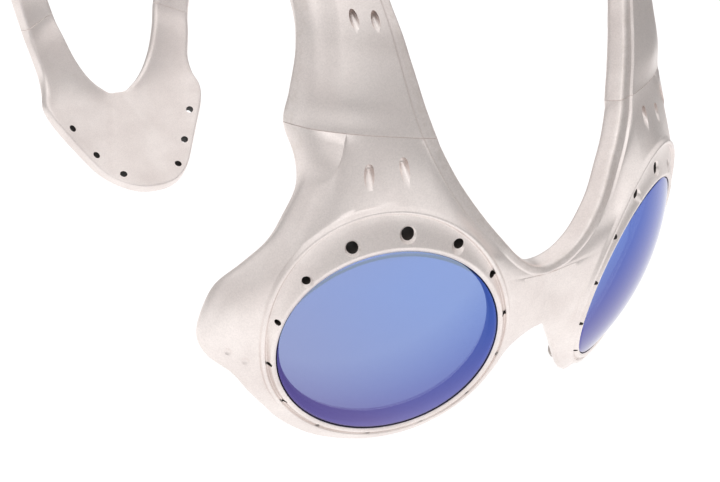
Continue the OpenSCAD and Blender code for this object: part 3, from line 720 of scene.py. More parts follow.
def sweep_mesh(name, sections, mirror_x):
    """A closed sweep through sections, with its ends drawn in a little to show the seam."""
    rings, worn = [], []
    for a, b, front, back in sections:
        line = [*a, *back, *b[::-1], *front[::-1]]
        flat = [SOFT] * len(back)
        corners = STRIP_CORNERS + flat + KNEE_CORNERS[::-1] + flat
        unworn = [0] * len(back)
        ring, w = softened(line, corners, STRIP_WEAR + unworn + KNEE_WEAR[::-1] + unworn, True)
        rings.append(ring)
        worn.append(w)
    rings, worn = seam_ends(rings, worn)
    n = len(rings[0])
    faces = []
    for a in range(len(rings) - 1):
        for i in range(n):
            j = (i + 1) % n
            faces.append((a * n + i, a * n + j, (a + 1) * n + j, (a + 1) * n + i))
    faces.append(list(range(n))[::-1])
    faces.append([(len(rings) - 1) * n + i for i in range(n)])
    points = np.concatenate(rings)
    if mirror_x:
        points = points * [-1, 1, 1]
        faces = [list(face)[::-1] for face in faces]
    return build_mesh(name, standing(points), faces, np.concatenate(worn))


# Bevel of a seam, in mm
SEAM_BEVEL = 0.12


def seam_ends(rings, worn):
    """Gives the first and the last ring a small bevel, so that a seam shows as a fine line."""

    def drawn_in(ring, inner):
        way = unit(ring.mean(0) - inner.mean(0))
        tangent = np.roll(ring, -1, axis=0) - np.roll(ring, 1, axis=0)
        normal = np.cross(tangent, way)
        length = np.linalg.norm(normal, axis=1, keepdims=True)
        normal = normal / np.maximum(length, 1e-9)
        if ((ring - ring.mean(0)) * normal).sum() < 0:
            normal = -normal
        before = ring - way * SEAM_BEVEL
        return before, ring - normal * SEAM_BEVEL

    first_before, first = drawn_in(rings[0], rings[1])
    last_before, last = drawn_in(rings[-1], rings[-2])
    return (
        [first, first_before] + rings[1:-1] + [last_before, last],
        [worn[0], worn[0]] + worn[1:-1] + [worn[-1], worn[-1]],
    )


def sections_along(rows, steps, mids):
    """Sections from the second row of a table to the last but one."""
    last = len(rows) - 2
    made = []
    for i in range(1, last):
        for j in range(steps):
            u = j / steps
            made.append(section(curve(rows, i, u), slope(rows, i, u), mids))
    made.append(section(curve(rows, last - 1, 1), slope(rows, last - 1, 1), mids))
    return made


def yoke_sections():
    """Sections of the whole yoke, from one band over the lower tip to the other."""
    half = sections_along(YOKE, YOKE_STEPS, YOKE_MIDS)
    mirror = np.array([-1, 1, 1])
    other = [tuple([p * mirror for p in part] for part in sec) for sec in half[:-1][::-1]]
    return half + other


# --- Cutting ---------------------------------------------------------------


def link(name, mesh):
    """Puts a mesh into the scene as an object."""
    obj = bpy.data.objects.new(name, mesh)
    bpy.context.scene.collection.objects.link(obj)
    return obj


def plain(obj, name):
    """Turns the evaluated object into a plain mesh, and clears its modifiers."""
    graph = bpy.context.evaluated_depsgraph_get()
    mesh = bpy.data.meshes.new_from_object(obj.evaluated_get(graph))
    mesh.name = name
    obj.modifiers.clear()
    old = obj.data
    obj.data = mesh
    if old.users == 0:
        bpy.data.meshes.remove(old)
    return obj


def cut(obj, cutter):
    """Takes a cutter out of a piece, and removes the cutter."""
    modifier = obj.modifiers.new("cut", "BOOLEAN")
    modifier.object = cutter
    modifier.operation = "DIFFERENCE"
    modifier.solver = "MANIFOLD"
    plain(obj, obj.name)
    bpy.data.objects.remove(cutter)


def lathe(profile, segments):
    """Points and faces of a closed solid turned about Z, from (radius, height) pairs
    on a line that starts and ends on the axis."""
    points = [(0, 0, profile[0][1])]
    faces = []
    for r, z in profile[1:-1]:
        for i in range(segments):
            a = 2 * math.pi * i / segments
            points.append((r * math.cos(a), r * math.sin(a), z))
    points.append((0, 0, profile[-1][1]))
    rings = len(profile) - 2
    for i in range(segments):
        j = (i + 1) % segments
        faces.append((0, 1 + j, 1 + i))
        for k in range(rings - 1):
            a, b = 1 + k * segments, 1 + (k + 1) * segments
            faces.append((a + i, a + j, b + j, b + i))
        top = 1 + (rings - 1) * segments
        faces.append((top + i, top + j, len(points) - 1))
    return points, faces


def lens_matrix(mirror_x):
    """Places a mesh, whose Z runs out of the lens, on a side, in metres."""
    m = Matrix.Identity(4)
    for row in range(3):
        m[row][0] = -AXIS_A[row] * MM
        m[row][1] = AXIS_B[row] * MM
        m[row][2] = -AXIS_C[row] * MM
        m[row][3] = (LENS_X, FRONT_Y, LENS_HEIGHT)[row] * MM
    return Matrix.Diagonal((-1, 1, 1, 1)) @ m if mirror_x else m


def place(mesh, matrix):
    """Moves a mesh, and keeps its faces outwards where it is mirrored."""
    mesh.transform(matrix)
    if matrix.determinant() < 0:
        mesh.flip_normals()


def add(tree, kind, settings=None, **links):
    """Adds a node with its settings, and links or values for its inputs, which are
    named, or counted as i0, i1 and so on."""
    made = tree.nodes.new(kind)
    for name, value in (settings or {}).items():
        setattr(made, name, value)
    for key, value in links.items():
        counted = key[1:].isdigit()
        socket = made.inputs[int(key[1:]) if counted else key.replace("_", " ")]
        if isinstance(value, bpy.types.NodeSocket):
            tree.links.new(value, socket)
        else:
            socket.default_value = value
    return made


def cutter_tree():
    """Sets a cutter on each mark, turned and sized as the mark says, in a finish."""
    tree = bpy.data.node_groups.new("Cutters on marks", "GeometryNodeTree")
    for label, kind, way in (
        ("Marks", "NodeSocketGeometry", "INPUT"),
        ("Cutter", "NodeSocketObject", "INPUT"),
        ("Material", "NodeSocketMaterial", "INPUT"),
        ("Geometry", "NodeSocketGeometry", "OUTPUT"),
    ):
        tree.interface.new_socket(label, in_out=way, socket_type=kind)
    given = add(tree, "NodeGroupInput").outputs
    named = {"data_type": "FLOAT_VECTOR"}
    size = add(tree, "GeometryNodeInputNamedAttribute", named, Name="mark_size")
    turn = add(tree, "GeometryNodeInputNamedAttribute", named, Name="mark_turn")
    cutter = add(tree, "GeometryNodeObjectInfo", Object=given["Cutter"])
    placed = add(
        tree,
        "GeometryNodeInstanceOnPoints",
        Points=given["Marks"],
        Instance=cutter.outputs["Geometry"],
        Rotation=turn.outputs[0],
        Scale=size.outputs[0],
    )
    real = add(tree, "GeometryNodeRealizeInstances", Geometry=placed.outputs[0])
    dressed = add(
        tree, "GeometryNodeSetMaterial", Geometry=real.outputs[0], Material=given["Material"]
    )
    add(tree, "NodeGroupOutput", Geometry=dressed.outputs[0])
    return tree


def cutters(name, marks, solid, material):
    """One mesh with a cutter on each mark, which is a place, a turn and a size."""
    points, faces = solid
    unit_mesh = bpy.data.meshes.new("cutter")
    unit_mesh.from_pydata(points, [], faces)
    cutter = link("cutter", unit_mesh)
    mesh = bpy.data.meshes.new(name)
    mesh.from_pydata([mark[0] for mark in marks], [], [])
    for label, i in (("mark_turn", 1), ("mark_size", 2)):
        attribute = mesh.attributes.new(label, "FLOAT_VECTOR", "POINT")
        attribute.data.foreach_set("vector", np.array([mark[i] for mark in marks]).ravel())
    obj = link(name, mesh)
    tree = bpy.data.node_groups.get("Cutters on marks") or cutter_tree()
    modifier = obj.modifiers.new("cutters", "NODES")
    modifier.node_group = tree
    values = {"Cutter": cutter, "Material": material}
    for item in tree.interface.items_tree:
        if item.in_out == "INPUT" and item.name in values:
            modifier[item.identifier] = values[item.name]
    obj.update_tag()
    plain(obj, name)
    bpy.data.objects.remove(cutter)
    tidy(obj.data, 1e-5)
    return obj


# Angles round a lens at which the vents stand furthest out, at which they are
# largest, and of the first one, and how fast their size falls off
VENT_OUT_A = 84
VENT_BIG_A = 92
VENT_FIRST_A = 86
VENT_FALL = 5
# Degrees by which the vents at the sides are drawn up towards the brow
VENT_CROWD = 3.2
# Share of the rim and of its extra width that a vent stands out from the lens
VENT_RIM = 0.44
VENT_BROW = 0.35
# Lean of the top vent's bevel in degrees, the width of the widest bevel, and
# the diameter up to which a vent has no bevel, in mm
VENT_LEAN = 28
VENT_BEVEL = 0.45
VENT_PLAIN_D = 1.5
# Cutters of a vent's bevel and of its bore, as (radius, height) pairs. The radii
# are for a vent 1 mm across, and so are the heights of the bevel.
VENT_CONE = [(0, 0), (0.5, 0), (1.5, 1), (0, 1)]
VENT_BORE = [(0, -14), (0.5, -14), (0.5, 4), (0, 4)]
HOLE_SEGMENTS = 48


def vent_marks(s, bevels):
    """Marks of the vents round a rim, or of their bevels, in the lens frame."""
    marks = []
    for i in range(s.vents):
        t = VENT_FIRST_A + i * 360 / s.vents
        t -= VENT_CROWD * math.sin(math.radians(t - BROW_A))
        share = (0.5 + 0.5 * math.cos(math.radians(t - VENT_BIG_A))) ** VENT_FALL
        d = mix(s.small_vent_d, s.vent_d, share)
        if bevels and d <= VENT_PLAIN_D:
            continue
        out = OPEN_R + s.rim_w * VENT_RIM + s.brow_h * VENT_BROW * peak(t, VENT_OUT_A, BROW_FALL)
        lip = OPEN_R + LIP_W
        half = (OPEN_R + s.rim_w + s.brow_h * brow(t) - s.bead_w - BEAD_RUN - lip) / 2
        c = (RIM_DROP + BROW_DROP * brow(t)) * MID_DROP * min(1, (out - lip) / half)
        a = math.radians(180 - t)
        lean = math.radians(VENT_LEAN * brow(t)) if bevels else 0
        turn = (Matrix.Rotation(a, 3, "Z") @ Matrix.Rotation(lean, 3, "Y")).to_euler()
        normal = turn.to_matrix() @ Vector((0, 0, 1))
        place_at = Vector((out * math.cos(a), out * math.sin(a), -c))
        if bevels:
            place_at -= normal * VENT_BEVEL * d / s.vent_d
        marks.append((place_at, turn, (d, d, d if bevels else 1)))
    return marks


# Slant of a scoop's floor in degrees, its length as a multiple of its width, and
# how finely its round end is cut
SCOOP_SLANT = 22
SCOOP_LONG = 4
SCOOP_RINGS = 8
SCOOP_SEGMENTS = 32


def scoop_mesh(p, up, out, deep, width):
    """A finger-shaped cutter that runs down into a face and is deepest at its upper end."""
    slant = math.radians(SCOOP_SLANT)
    ball = p - out * (deep - width / 2)
    way = -(up * math.cos(slant) - out * math.sin(slant))
    profile = [(0, -width / 2)]
    for i in range(1, SCOOP_RINGS + 1):
        a = math.pi / 2 * (1 - i / SCOOP_RINGS)
        profile.append((width / 2 * math.cos(a), -width / 2 * math.sin(a)))
    profile += [(width / 2, width * SCOOP_LONG), (0, width * SCOOP_LONG)]
    points, faces = lathe(profile, SCOOP_SEGMENTS)
    side = unit(np.cross(out, way))
    other = np.cross(way, side)
    return [ball + side * q[0] + other * q[1] + way * q[2] for q in points], faces


# Scoops of the front moulding: angle round the lens, share of the way from the
# rim to the edge, across the spoke or not, depth in mm, and width as a multiple
# of the scoop width
SHELL_SCOOPS = [
    (86.2, 0.66, False, 1.5, 1.2),
    (100.8, 0.56, False, 1.5, 1.2),
    (181, 0.6, True, 0.3, 1.7),
    (184.6, 0.32, True, 0.3, 1.7),
]


def shell_scoops(spokes, loops, width):
    """Cutters for the scoops of the front moulding."""
    made = []
    for angle, share, turned, deep, wide in SHELL_SCOOPS:
        k = min(range(len(spokes)), key=lambda i: abs(spokes[i].angle - angle))
        line = loops[k][0]
        wanted = mix(line[FACE_FIRST - 1], spokes[k].edge[0], share)
        away = np.linalg.norm(line[FACE_FIRST : FACE_FIRST + FACE_N] - wanted, axis=1)
        i = FACE_FIRST + int(away.argmin())
        along_spoke = unit(line[i + 1] - line[i - 1])
        across = unit(loops[k - 1][0][i] - loops[k + 1][0][i])
        out = unit(np.cross(across, along_spoke))
        if out @ AXIS_C > 0:
            out = -out
        up = across if turned else along_spoke
        made.append(scoop_mesh(line[i], up, out, deep, width * wide))
    return made


# Scoops of a band: row, share of the way to the next, and share of the way from
# its inner edge to its knee. Below, the depth of each, in mm.
BAND_SCOOPS = [(3, 0.9, 0.25), (3, 0.87, 0.7)]
BAND_SCOOP_D = 1.5


def band_scoops(width):
    """Cutters for the scoops of a band."""
    made = []
    for i, u, share in BAND_SCOOPS:
        q, v = curve(BAND, i, u), slope(BAND, i, u)
        a, b = section(q, v, BAND_MIDS)[:2]
        up = unit(v[0:3] + v[3:6])
        out = unit(np.cross(b[0] - a[0], up))
        made.append(scoop_mesh(mix(a[0], b[0], share), up, out, BAND_SCOOP_D, width))
    return made


# Holes of the yoke: row, and share of the way to the next. Below, how far a cutter
# reaches to each side, in mm.
YOKE_HOLES = [(6, 0.5), (7, 0.65), (8, 0.75)]
HOLE_REACH = 8


def yoke_holes(r, from_edge):
    """Cutters for the holes along one lower edge of the yoke."""
    made = []
    for i, u in YOKE_HOLES:
        q, v = curve(YOKE, i, u), slope(YOKE, i, u)
        across = unit(q[0:3] - q[3:6])
        way = unit(np.cross(across, v[3:6]))
        middle = q[3:6] + across * from_edge
        profile = [(0, -HOLE_REACH), (r, -HOLE_REACH), (r, HOLE_REACH), (0, HOLE_REACH)]
        points, faces = lathe(profile, HOLE_SEGMENTS)
        other = np.cross(way, across)
        made.append(([middle + across * p[0] + other * p[1] + way * p[2] for p in points], faces))
    return made


def joined_mesh(name, solids, mirror_x):
    """One mesh of several closed solids of the shapes' world, on a side."""
    points, faces = [], []
    for solid_points, solid_faces in solids:
        first = len(points)
        points += [np.array(p) for p in solid_points]
        faces += [[first + i for i in face] for face in solid_faces]
    points = standing(points)
    if mirror_x:
        points = points * [-1, 1, 1]
        faces = [face[::-1] for face in faces]
    mesh = bpy.data.meshes.new(name)
    mesh.from_pydata([tuple(p) for p in points], [], faces)
    tidy(mesh, 1e-7)
    return mesh


def carve(obj, name, solids, mirror_x, material):
    """Takes closed solids out of a piece on a side, and leaves a finish there."""
    mesh = joined_mesh(name, solids, mirror_x)
    mesh.materials.append(material)
    cut(obj, link(name, mesh))


# How near a point of the uncut mesh has to be, in mm, for its wear to be copied
WEAR_REACH = 0.5


def carry_wear(obj, source):
    """Copies the wear of the uncut mesh to the nearest points of the cut one."""
    tree = KDTree(len(source.vertices))
    for i, v in enumerate(source.vertices):
        tree.insert(v.co, i)
    tree.balance()
    values = np.zeros(len(source.vertices), np.float32)
    source.attributes["edge_wear"].data.foreach_get("value", values)
    mesh = obj.data
    if "edge_wear" in mesh.attributes:
        mesh.attributes.remove(mesh.attributes["edge_wear"])
    attribute = mesh.attributes.new("edge_wear", "FLOAT", "POINT")
    found = []
    for v in mesh.vertices:
        co, i, distance = tree.find(v.co)
        found.append(values[i] if distance < WEAR_REACH * MM else 0)
    attribute.data.foreach_set("value", np.array(found, np.float32))


# Angle in degrees past which an edge is sharp
SHARP_A = 32


def smooth(obj, angle=SHARP_A):
    """Smooth faces with sharp edges past an angle."""
    mesh = obj.data
    mesh.shade_smooth()
    mesh.set_sharp_from_angle(angle=math.radians(angle))


# --- Finishes --------------------------------------------------------------


def linear(text):
    """A colour written as sRGB hex, in linear light."""
    values = [int(text[i : i + 2], 16) / 255 for i in (1, 3, 5)]
    return tuple(v / 12.92 if v <= 0.04045 else ((v + 0.055) / 1.055) ** 2.4 for v in values) + (1,)


# Kinds of node that the finishes use again and again
NOISE = "ShaderNodeTexNoise"
CELLS = "ShaderNodeTexVoronoi"
RANGE = "ShaderNodeMapRange"
MATH = "ShaderNodeMath"
MIX = "ShaderNodeMix"
BUMP = "ShaderNodeBump"
SURFACE = "ShaderNodeBsdfPrincipled"
OUTPUT = "ShaderNodeOutputMaterial"
COLOURS = {"data_type": "RGBA"}
WHITE = (1, 1, 1, 1)


def start_material(name):
    """A material of that name and its empty node tree, or None where it is made."""
    material = bpy.data.materials.get(name)
    if material:
        return material, None
    material = bpy.data.materials.new(name)
    material.use_nodes = True
    material.node_tree.nodes.clear()
    return material, material.node_tree


def satin_lacquer(s):
    """Satin metallic lacquer sprayed on moulded nylon: a warm pale silver with a
    fine flake, softly mottled, rubbed thin along edges, and chipped to the dark
    nylon where the part is knocked."""
    material, tree = start_material("satin_silver_lacquer_on_nylon")
    if tree is None:
        return material
    place_on = add(tree, "ShaderNodeTexCoord").outputs["Object"]
    wear = add(tree, "ShaderNodeAttribute", {"attribute_name": "edge_wear"}).outputs["Fac"]
    silver = tuple(s.silver) + (1,)
    # Mottle of the spray coat, about 14 mm across
    mottle = add(tree, NOISE, Vector=place_on, Scale=1 / 0.014, Detail=3.0, Roughness=0.55)
    tone = add(tree, RANGE, i0=mottle.outputs[0], i1=0.35, i2=0.65, i3=0.0, i4=1.0)
    paint = add(tree, MIX, COLOURS, i0=tone.outputs[0], i6=silver, i7=linear("#e9dfdb"))
    # Flake, 0.25 mm across, coarser than the real one so that it shows
    flake = add(tree, CELLS, Vector=place_on, Scale=1 / 0.00025)
    fleck = add(tree, RANGE, i0=flake.outputs["Color"], i1=0.0, i2=1.0, i3=0.93, i4=1.04)
    multiply = {"data_type": "RGBA", "blend_type": "MULTIPLY"}
    paint = add(tree, MIX, multiply, i0=1.0, i6=paint.outputs[2], i7=fleck.outputs[0])
    # Rubbed edges, a warmer and duller tone broken up by a 1.2 mm noise
    rub = add(tree, NOISE, Vector=place_on, Scale=1 / 0.0012, Detail=4.0, Roughness=0.6)
    rubbed = add(tree, MATH, {"operation": "MULTIPLY"}, i0=wear, i1=rub.outputs[0])
    thin = add(tree, RANGE, i0=rubbed.outputs[0], i1=0.35, i2=0.75, i3=0.0, i4=0.3)
    paint = add(
        tree, MIX, COLOURS, i0=thin.outputs[0], i6=paint.outputs[2], i7=linear("#bcae9f")
    )
    # Chips, 0.3 to 1 mm, on edges and few and far between
    chip = add(tree, NOISE, Vector=place_on, Scale=1 / 0.0021, Detail=5.0, Roughness=0.7)
    chip = add(tree, MATH, {"operation": "MULTIPLY"}, i0=wear, i1=chip.outputs[0])
    chip = add(tree, RANGE, i0=chip.outputs[0], i1=0.665, i2=0.69, i3=0.0, i4=1.0)
    colour = add(
        tree, MIX, COLOURS, i0=chip.outputs[0], i6=paint.outputs[2], i7=linear("#2c2927")
    )
    metal = add(tree, RANGE, i0=chip.outputs[0], i1=0.0, i2=1.0, i3=s.metal_share, i4=0.0)
    # The lacquer is smoother where hands polish it
    polished, dull = s.satin - 0.05, s.satin + 0.06
    rough = add(tree, RANGE, i0=mottle.outputs[0], i1=0.3, i2=0.7, i3=polished, i4=dull)
    clamped = {"operation": "ADD", "use_clamp": True}
    rough = add(tree, MATH, clamped, i0=rough.outputs[0], i1=chip.outputs[0])
    # Orange peel of the coat, 1.5 mm across, with a finer grain over it
    peel = add(tree, NOISE, Vector=place_on, Scale=1 / 0.0015, Detail=2.0)
    bump = add(tree, BUMP, Strength=0.05, Distance=0.0002, Height=peel.outputs[0])
    grain = add(tree, NOISE, Vector=place_on, Scale=1 / 0.0004, Detail=2.0)
    bump = add(
        tree,
        BUMP,
        Strength=0.06,
        Distance=0.00005,
        Height=grain.outputs[0],
        Normal=bump.outputs[0],
    )
    shell = add(
        tree,
        SURFACE,
        Base_Color=colour.outputs[2],
        Metallic=metal.outputs[0],
        Roughness=rough.outputs[0],
        Normal=bump.outputs[0],
    )
    add(tree, OUTPUT, Surface=shell.outputs[0])
    return material


def nylon_with_bore_shade():
    """Moulded black nylon with no lacquer on it, inside the vents and holes and
    behind the lenses: dull, with a fine grain. Its dark also stands in for the shade inside those
    bores, as painted shade."""
    material, tree = start_material("bare_moulded_nylon")
    if tree is None:
        return material
    place_on = add(tree, "ShaderNodeTexCoord").outputs["Object"]
    noise = add(tree, NOISE, Vector=place_on, Scale=1 / 0.0006, Detail=3.0)
    # Dark nylon; inside the bores this dark is painted shade as well as the nylon's own colour
    dark, light = linear("#2a2523"), linear("#443c38")
    colour = add(tree, MIX, COLOURS, i0=noise.outputs[0], i6=dark, i7=light)
    rough = add(tree, RANGE, i0=noise.outputs[0], i1=0.3, i2=0.7, i3=0.5, i4=0.7)
    bump = add(tree, BUMP, Strength=0.2, Distance=0.0001, Height=noise.outputs[0])
    shell = add(
        tree,
        SURFACE,
        Base_Color=colour.outputs[2],
        Roughness=rough.outputs[0],
        Normal=bump.outputs[0],
    )
    add(tree, OUTPUT, Surface=shell.outputs[0])
    return material


def mirror_coat(s):
    """Blue mirror coating on the outer dome of a polycarbonate lens: it gives
    back the room in blue, lets part of the light through, and turns white at
    a glancing angle."""
    material, tree = start_material("blue_mirror_coating")
    if tree is None:
        return material
    place_on = add(tree, "ShaderNodeTexCoord").outputs["Object"]
    # A random drift of the coating's tone, 60 mm across, over a painted reflection: blue above and
    # by the nose, turning to a darker violet below and outside, which stands in for the darker
    # reflection low on the lens and the glancing view at its outer side
    at = add(tree, "ShaderNodeSeparateXYZ", Vector=place_on).outputs
    side = add(tree, MATH, {"operation": "ABSOLUTE"}, i0=at["X"])
    outer = add(tree, RANGE, i0=side.outputs[0], i1=0.016, i2=0.054, i3=-0.3, i4=0.3)
    drift = add(tree, NOISE, Vector=place_on, Scale=1 / 0.06, Detail=1.0)
    # Painted reflection: the violet grows towards the bottom of the lens and towards its outer side
    level = add(tree, RANGE, i0=at["Z"], i1=0.042, i2=0.008, i3=-0.35, i4=0.65)
    level = add(tree, MATH, {"operation": "ADD"}, i0=level.outputs[0], i1=outer.outputs[0])
    clamped = {"operation": "ADD", "use_clamp": True}
    share = add(tree, MATH, clamped, i0=drift.outputs[0], i1=level.outputs[0])
    blue, violet = tuple(s.mirror) + (1,), tuple(s.mirror_violet_reflection) + (1,)
    colour = add(tree, MIX, COLOURS, i0=share.outputs[0], i6=blue, i7=violet)
    # Fine smears, 4 mm across
    smear = add(tree, NOISE, Vector=place_on, Scale=1 / 0.004, Detail=4.0, Roughness=0.65)
    rough = add(tree, RANGE, i0=smear.outputs[0], i1=0.35, i2=0.75, i3=0.03, i4=0.09)
    # The coating passes less light the more the lens is turned away
    away = add(tree, "ShaderNodeLayerWeight", Blend=0.5).outputs["Facing"]
    straight, glancing = 1 - s.see_through, 1 - s.see_through / 8
    solid = add(tree, RANGE, i0=away, i1=0.25, i2=0.6, i3=straight, i4=glancing)
    shell = add(
        tree,
        SURFACE,
        Base_Color=colour.outputs[2],
        Metallic=1.0,
        Roughness=rough.outputs[0],
        Alpha=solid.outputs[0],
    )
    add(tree, OUTPUT, Surface=shell.outputs[0])
    return material


def tinted_body():
    """Tinted polycarbonate behind the mirror coating: polished, and it lets light
    through faintly blue."""
    material, tree = start_material("tinted_polycarbonate")
    if tree is None:
        return material
    place_on = add(tree, "ShaderNodeTexCoord").outputs["Object"]
    haze = add(tree, NOISE, Vector=place_on, Scale=1 / 0.006, Detail=3.0)
    rough = add(tree, RANGE, i0=haze.outputs[0], i1=0.35, i2=0.7, i3=0.04, i4=0.1)
    dark, light = linear("#3c3f52"), linear("#464a5e")
    tint = add(tree, MIX, COLOURS, i0=haze.outputs[0], i6=dark, i7=light)
    polish = add(tree, SURFACE, Base_Color=tint.outputs[2], Roughness=rough.outputs[0])
    clear = add(tree, "ShaderNodeBsdfTransparent", Color=linear("#d0e6ff"))
    shell = add(tree, "ShaderNodeMixShader", i0=0.08, i1=clear.outputs[0], i2=polish.outputs[0])
    add(tree, OUTPUT, Surface=shell.outputs[0])
    return material


def soft_rubber(s):
    """Thermoplastic rubber of the nose pads: milky pale grey, matt, with a
    moulded grain and a dusty bloom."""
    material, tree = start_material("moulded_soft_rubber")
    if tree is None:
        return material
    place_on = add(tree, "ShaderNodeTexCoord").outputs["Object"]
    bloom = add(tree, NOISE, Vector=place_on, Scale=1 / 0.003, Detail=3.0)
    rubber, dusty = tuple(s.rubber) + (1,), linear("#c8c0ba")
    colour = add(tree, MIX, COLOURS, i0=bloom.outputs[0], i6=rubber, i7=dusty)
    rough = add(tree, RANGE, i0=bloom.outputs[0], i1=0.3, i2=0.7, i3=0.62, i4=0.8)
    grain = add(tree, CELLS, Vector=place_on, Scale=1 / 0.0005)
    bump = add(tree, BUMP, Strength=0.25, Distance=0.0001, Height=grain.outputs["Distance"])
    shell = add(
        tree,
        SURFACE,
        Base_Color=colour.outputs[2],
        Roughness=rough.outputs[0],
        Normal=bump.outputs[0],
    )
    add(tree, OUTPUT, Surface=shell.outputs[0])
    return material


# --- Properties ------------------------------------------------------------


def size_of(name, words, default):
    """A length of the panel, given in mm."""
    return FloatProperty(
        name=name,
        description=words,
        default=default * MM,
        unit="LENGTH",
        subtype="DISTANCE",
        precision=5,
    )


def number_of(name, words, default, **more):
    """A number of the panel that is never below nought."""
    return FloatProperty(name=name, description=words, default=default, min=0, **more)


def colour_of(name, words, text):
    """A colour of the panel, given as sRGB hex."""
    return FloatVectorProperty(
        name=name,
        description=words,
        default=linear(text)[:3],
        size=3,
        subtype="COLOR",
        min=0,
        max=1,
    )


class EyewearShell(bpy.types.PropertyGroup):
    """Sizes of the mouldings."""

    rim_width: size_of("Rim width", "Width of the rim beside and below a lens", 2.9)
    brow_width: size_of("Brow width", "Extra width of the rim over the brow", 5.3)
    bead_height: size_of("Bead height", "Height of the raised border round the rim", 0.65)
    bead_width: size_of("Bead width", "Width of the raised border round the rim", 0.9)
    skirt_flare: size_of("Skirt flare", "Flare of the skirt below the rim", 3.7)
    vent_count: IntProperty(
        name="Vents", description="Number of vents round each rim", default=14, min=1
    )
    vent_diameter: size_of("Largest vent", "Diameter of the vent over the brow", 2.5)
    small_vent_diameter: size_of("Smallest vent", "Diameter of the vent below the lens", 0.9)
    scoop_width: size_of("Scoop width", "Width of a scoop in a face", 1.6)
    yoke_hole: size_of("Yoke hole", "Diameter of a hole in the rear yoke", 2.4)
    yoke_hole_edge: size_of("Hole to edge", "Distance from a hole to the edge of the yoke", 3.8)


class EyewearFinish(bpy.types.PropertyGroup):
    """Colours and gloss of the finishes."""

    silver: colour_of("Silver", "Colour of the satin lacquer", "#f4ebe7")
    metal_share: number_of("Metal share", "How metallic the lacquer looks", 0.8, max=1)
    satin: number_of("Satin", "Roughness of the lacquer", 0.4, max=1)
    mirror: colour_of("Mirror", "Colour of the mirror coating", "#4460b8")
    # The violet is a painted reflection, laid below and outside on each lens
    mirror_violet_reflection: colour_of("Mirror violet", "Colour where the coating is thicker", "#5e549a")
    see_through: number_of("See-through", "Share of light that passes the coating", 0.38, max=1)
    rubber: colour_of("Rubber", "Colour of the nose pads", "#b5aca6")


class EyewearStudio(bpy.types.PropertyGroup):
    """Light and camera."""

    fill: number_of("Fill", "Strength of the room at eye level", 0.22)
    overhead: number_of("Overhead", "Strength of the room overhead", 1.15)
    front: number_of("Front", "Share of the room's light in front", 0.8)
    table: number_of("Table", "Strength of the light table", 1.15)
    key_power: number_of("Key power", "Power of the main softbox", 0.2, unit="POWER")
    focal: FloatProperty(
        name="Focal length", description="Focal length of the camera, in mm", default=55.81, min=1
    )
    floor: colour_of("Floor", "Colour of the floor", "#9c9a99")


# --- Operators -------------------------------------------------------------


def started(name, mesh, *materials):
    """Cleans a mesh, gives it its finishes and puts it into the scene."""
    tidy(mesh)
    for material in materials:
        mesh.materials.append(material)
    return link(name, mesh)


class EYEWEAR_OT_front_moulding(bpy.types.Operator):
    """Lays the front moulding with its rims, bridge, wings, vents and scoops."""

    bl_idname = "eyewear.front_moulding"
    bl_label = "Front moulding"

    def execute(self, context):
        s = Settings(context.scene.eyewear_shell)
        lacquer, nylon = satin_lacquer(context.scene.eyewear_finish), nylon_with_bore_shade()
        mesh, spokes, loops = front_moulding_mesh(s)
        obj = started("front_moulding", mesh, lacquer, nylon)
        uncut = mesh.copy()
        bevel, bore = lathe(VENT_CONE, HOLE_SEGMENTS), lathe(VENT_BORE, HOLE_SEGMENTS)
        for side, mirror_x in SIDES:
            # The bores of the vents take the dark nylon, which also paints the shade inside them
            for solid, material, bevels in ((bevel, lacquer, True), (bore, nylon, False)):
                cutter = cutters(f"{side}_vents", vent_marks(s, bevels), solid, material)
                place(cutter.data, lens_matrix(mirror_x))
                cut(obj, cutter)
        scoops = shell_scoops(spokes, loops, s.scoop_w)
        for side, mirror_x in SIDES:
            carve(obj, f"{side}_scoops", scoops, mirror_x, lacquer)
        carry_wear(obj, uncut)
        smooth(obj)
        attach(obj, FRAME_BODY)
        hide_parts("front_frame")
        return {"FINISHED"}


class EYEWEAR_OT_crown_bands(bpy.types.Operator):
    """Sweeps the two bands that run over the head."""

    bl_idname = "eyewear.crown_bands"
    bl_label = "Crown bands"

    def execute(self, context):
        lacquer = satin_lacquer(context.scene.eyewear_finish)
        s = Settings(context.scene.eyewear_shell)
        sections, scoops = sections_along(BAND, BAND_STEPS, BAND_MIDS), band_scoops(s.scoop_w)
        for side, mirror_x in SIDES:
            mesh = sweep_mesh(f"{side}_band", sections, mirror_x)
            obj = started(f"{side}_band", mesh, lacquer)
            uncut = mesh.copy()
            carve(obj, f"{side}_scoops", scoops, mirror_x, lacquer)
            carry_wear(obj, uncut)
            smooth(obj)
            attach(obj, FRAME_BODY)
            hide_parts(f"{side}_crown_band")
        return {"FINISHED"}


class EYEWEAR_OT_rear_yoke(bpy.types.Operator):
    """Sweeps the yoke that joins the bands behind the head, with its tether holes."""

    bl_idname = "eyewear.rear_yoke"
    bl_label = "Rear yoke"

    def execute(self, context):
        lacquer, nylon = satin_lacquer(context.scene.eyewear_finish), nylon_with_bore_shade()
        shell = context.scene.eyewear_shell
        mesh = sweep_mesh("yoke", yoke_sections(), False)
        obj = started("yoke", mesh, lacquer, nylon)
        uncut = mesh.copy()
        holes = yoke_holes(shell.yoke_hole / MM / 2, shell.yoke_hole_edge / MM)
        for side, mirror_x in SIDES:
            # The holes take the dark nylon, which also paints the shade inside them
            carve(obj, f"{side}_holes", holes, mirror_x, nylon)
        carry_wear(obj, uncut)
        smooth(obj)
        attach(obj, FRAME_BODY)
        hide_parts("rear_yoke")
        return {"FINISHED"}


# How finely a lens is turned, and the chamfer of its edge: its width, and how much
# higher than the dome's rim its inner end lies, in mm
LENS_RINGS = 26
LENS_SEGMENTS = 160
CHAMFER = 0.15
CHAMFER_RISE = 0.04


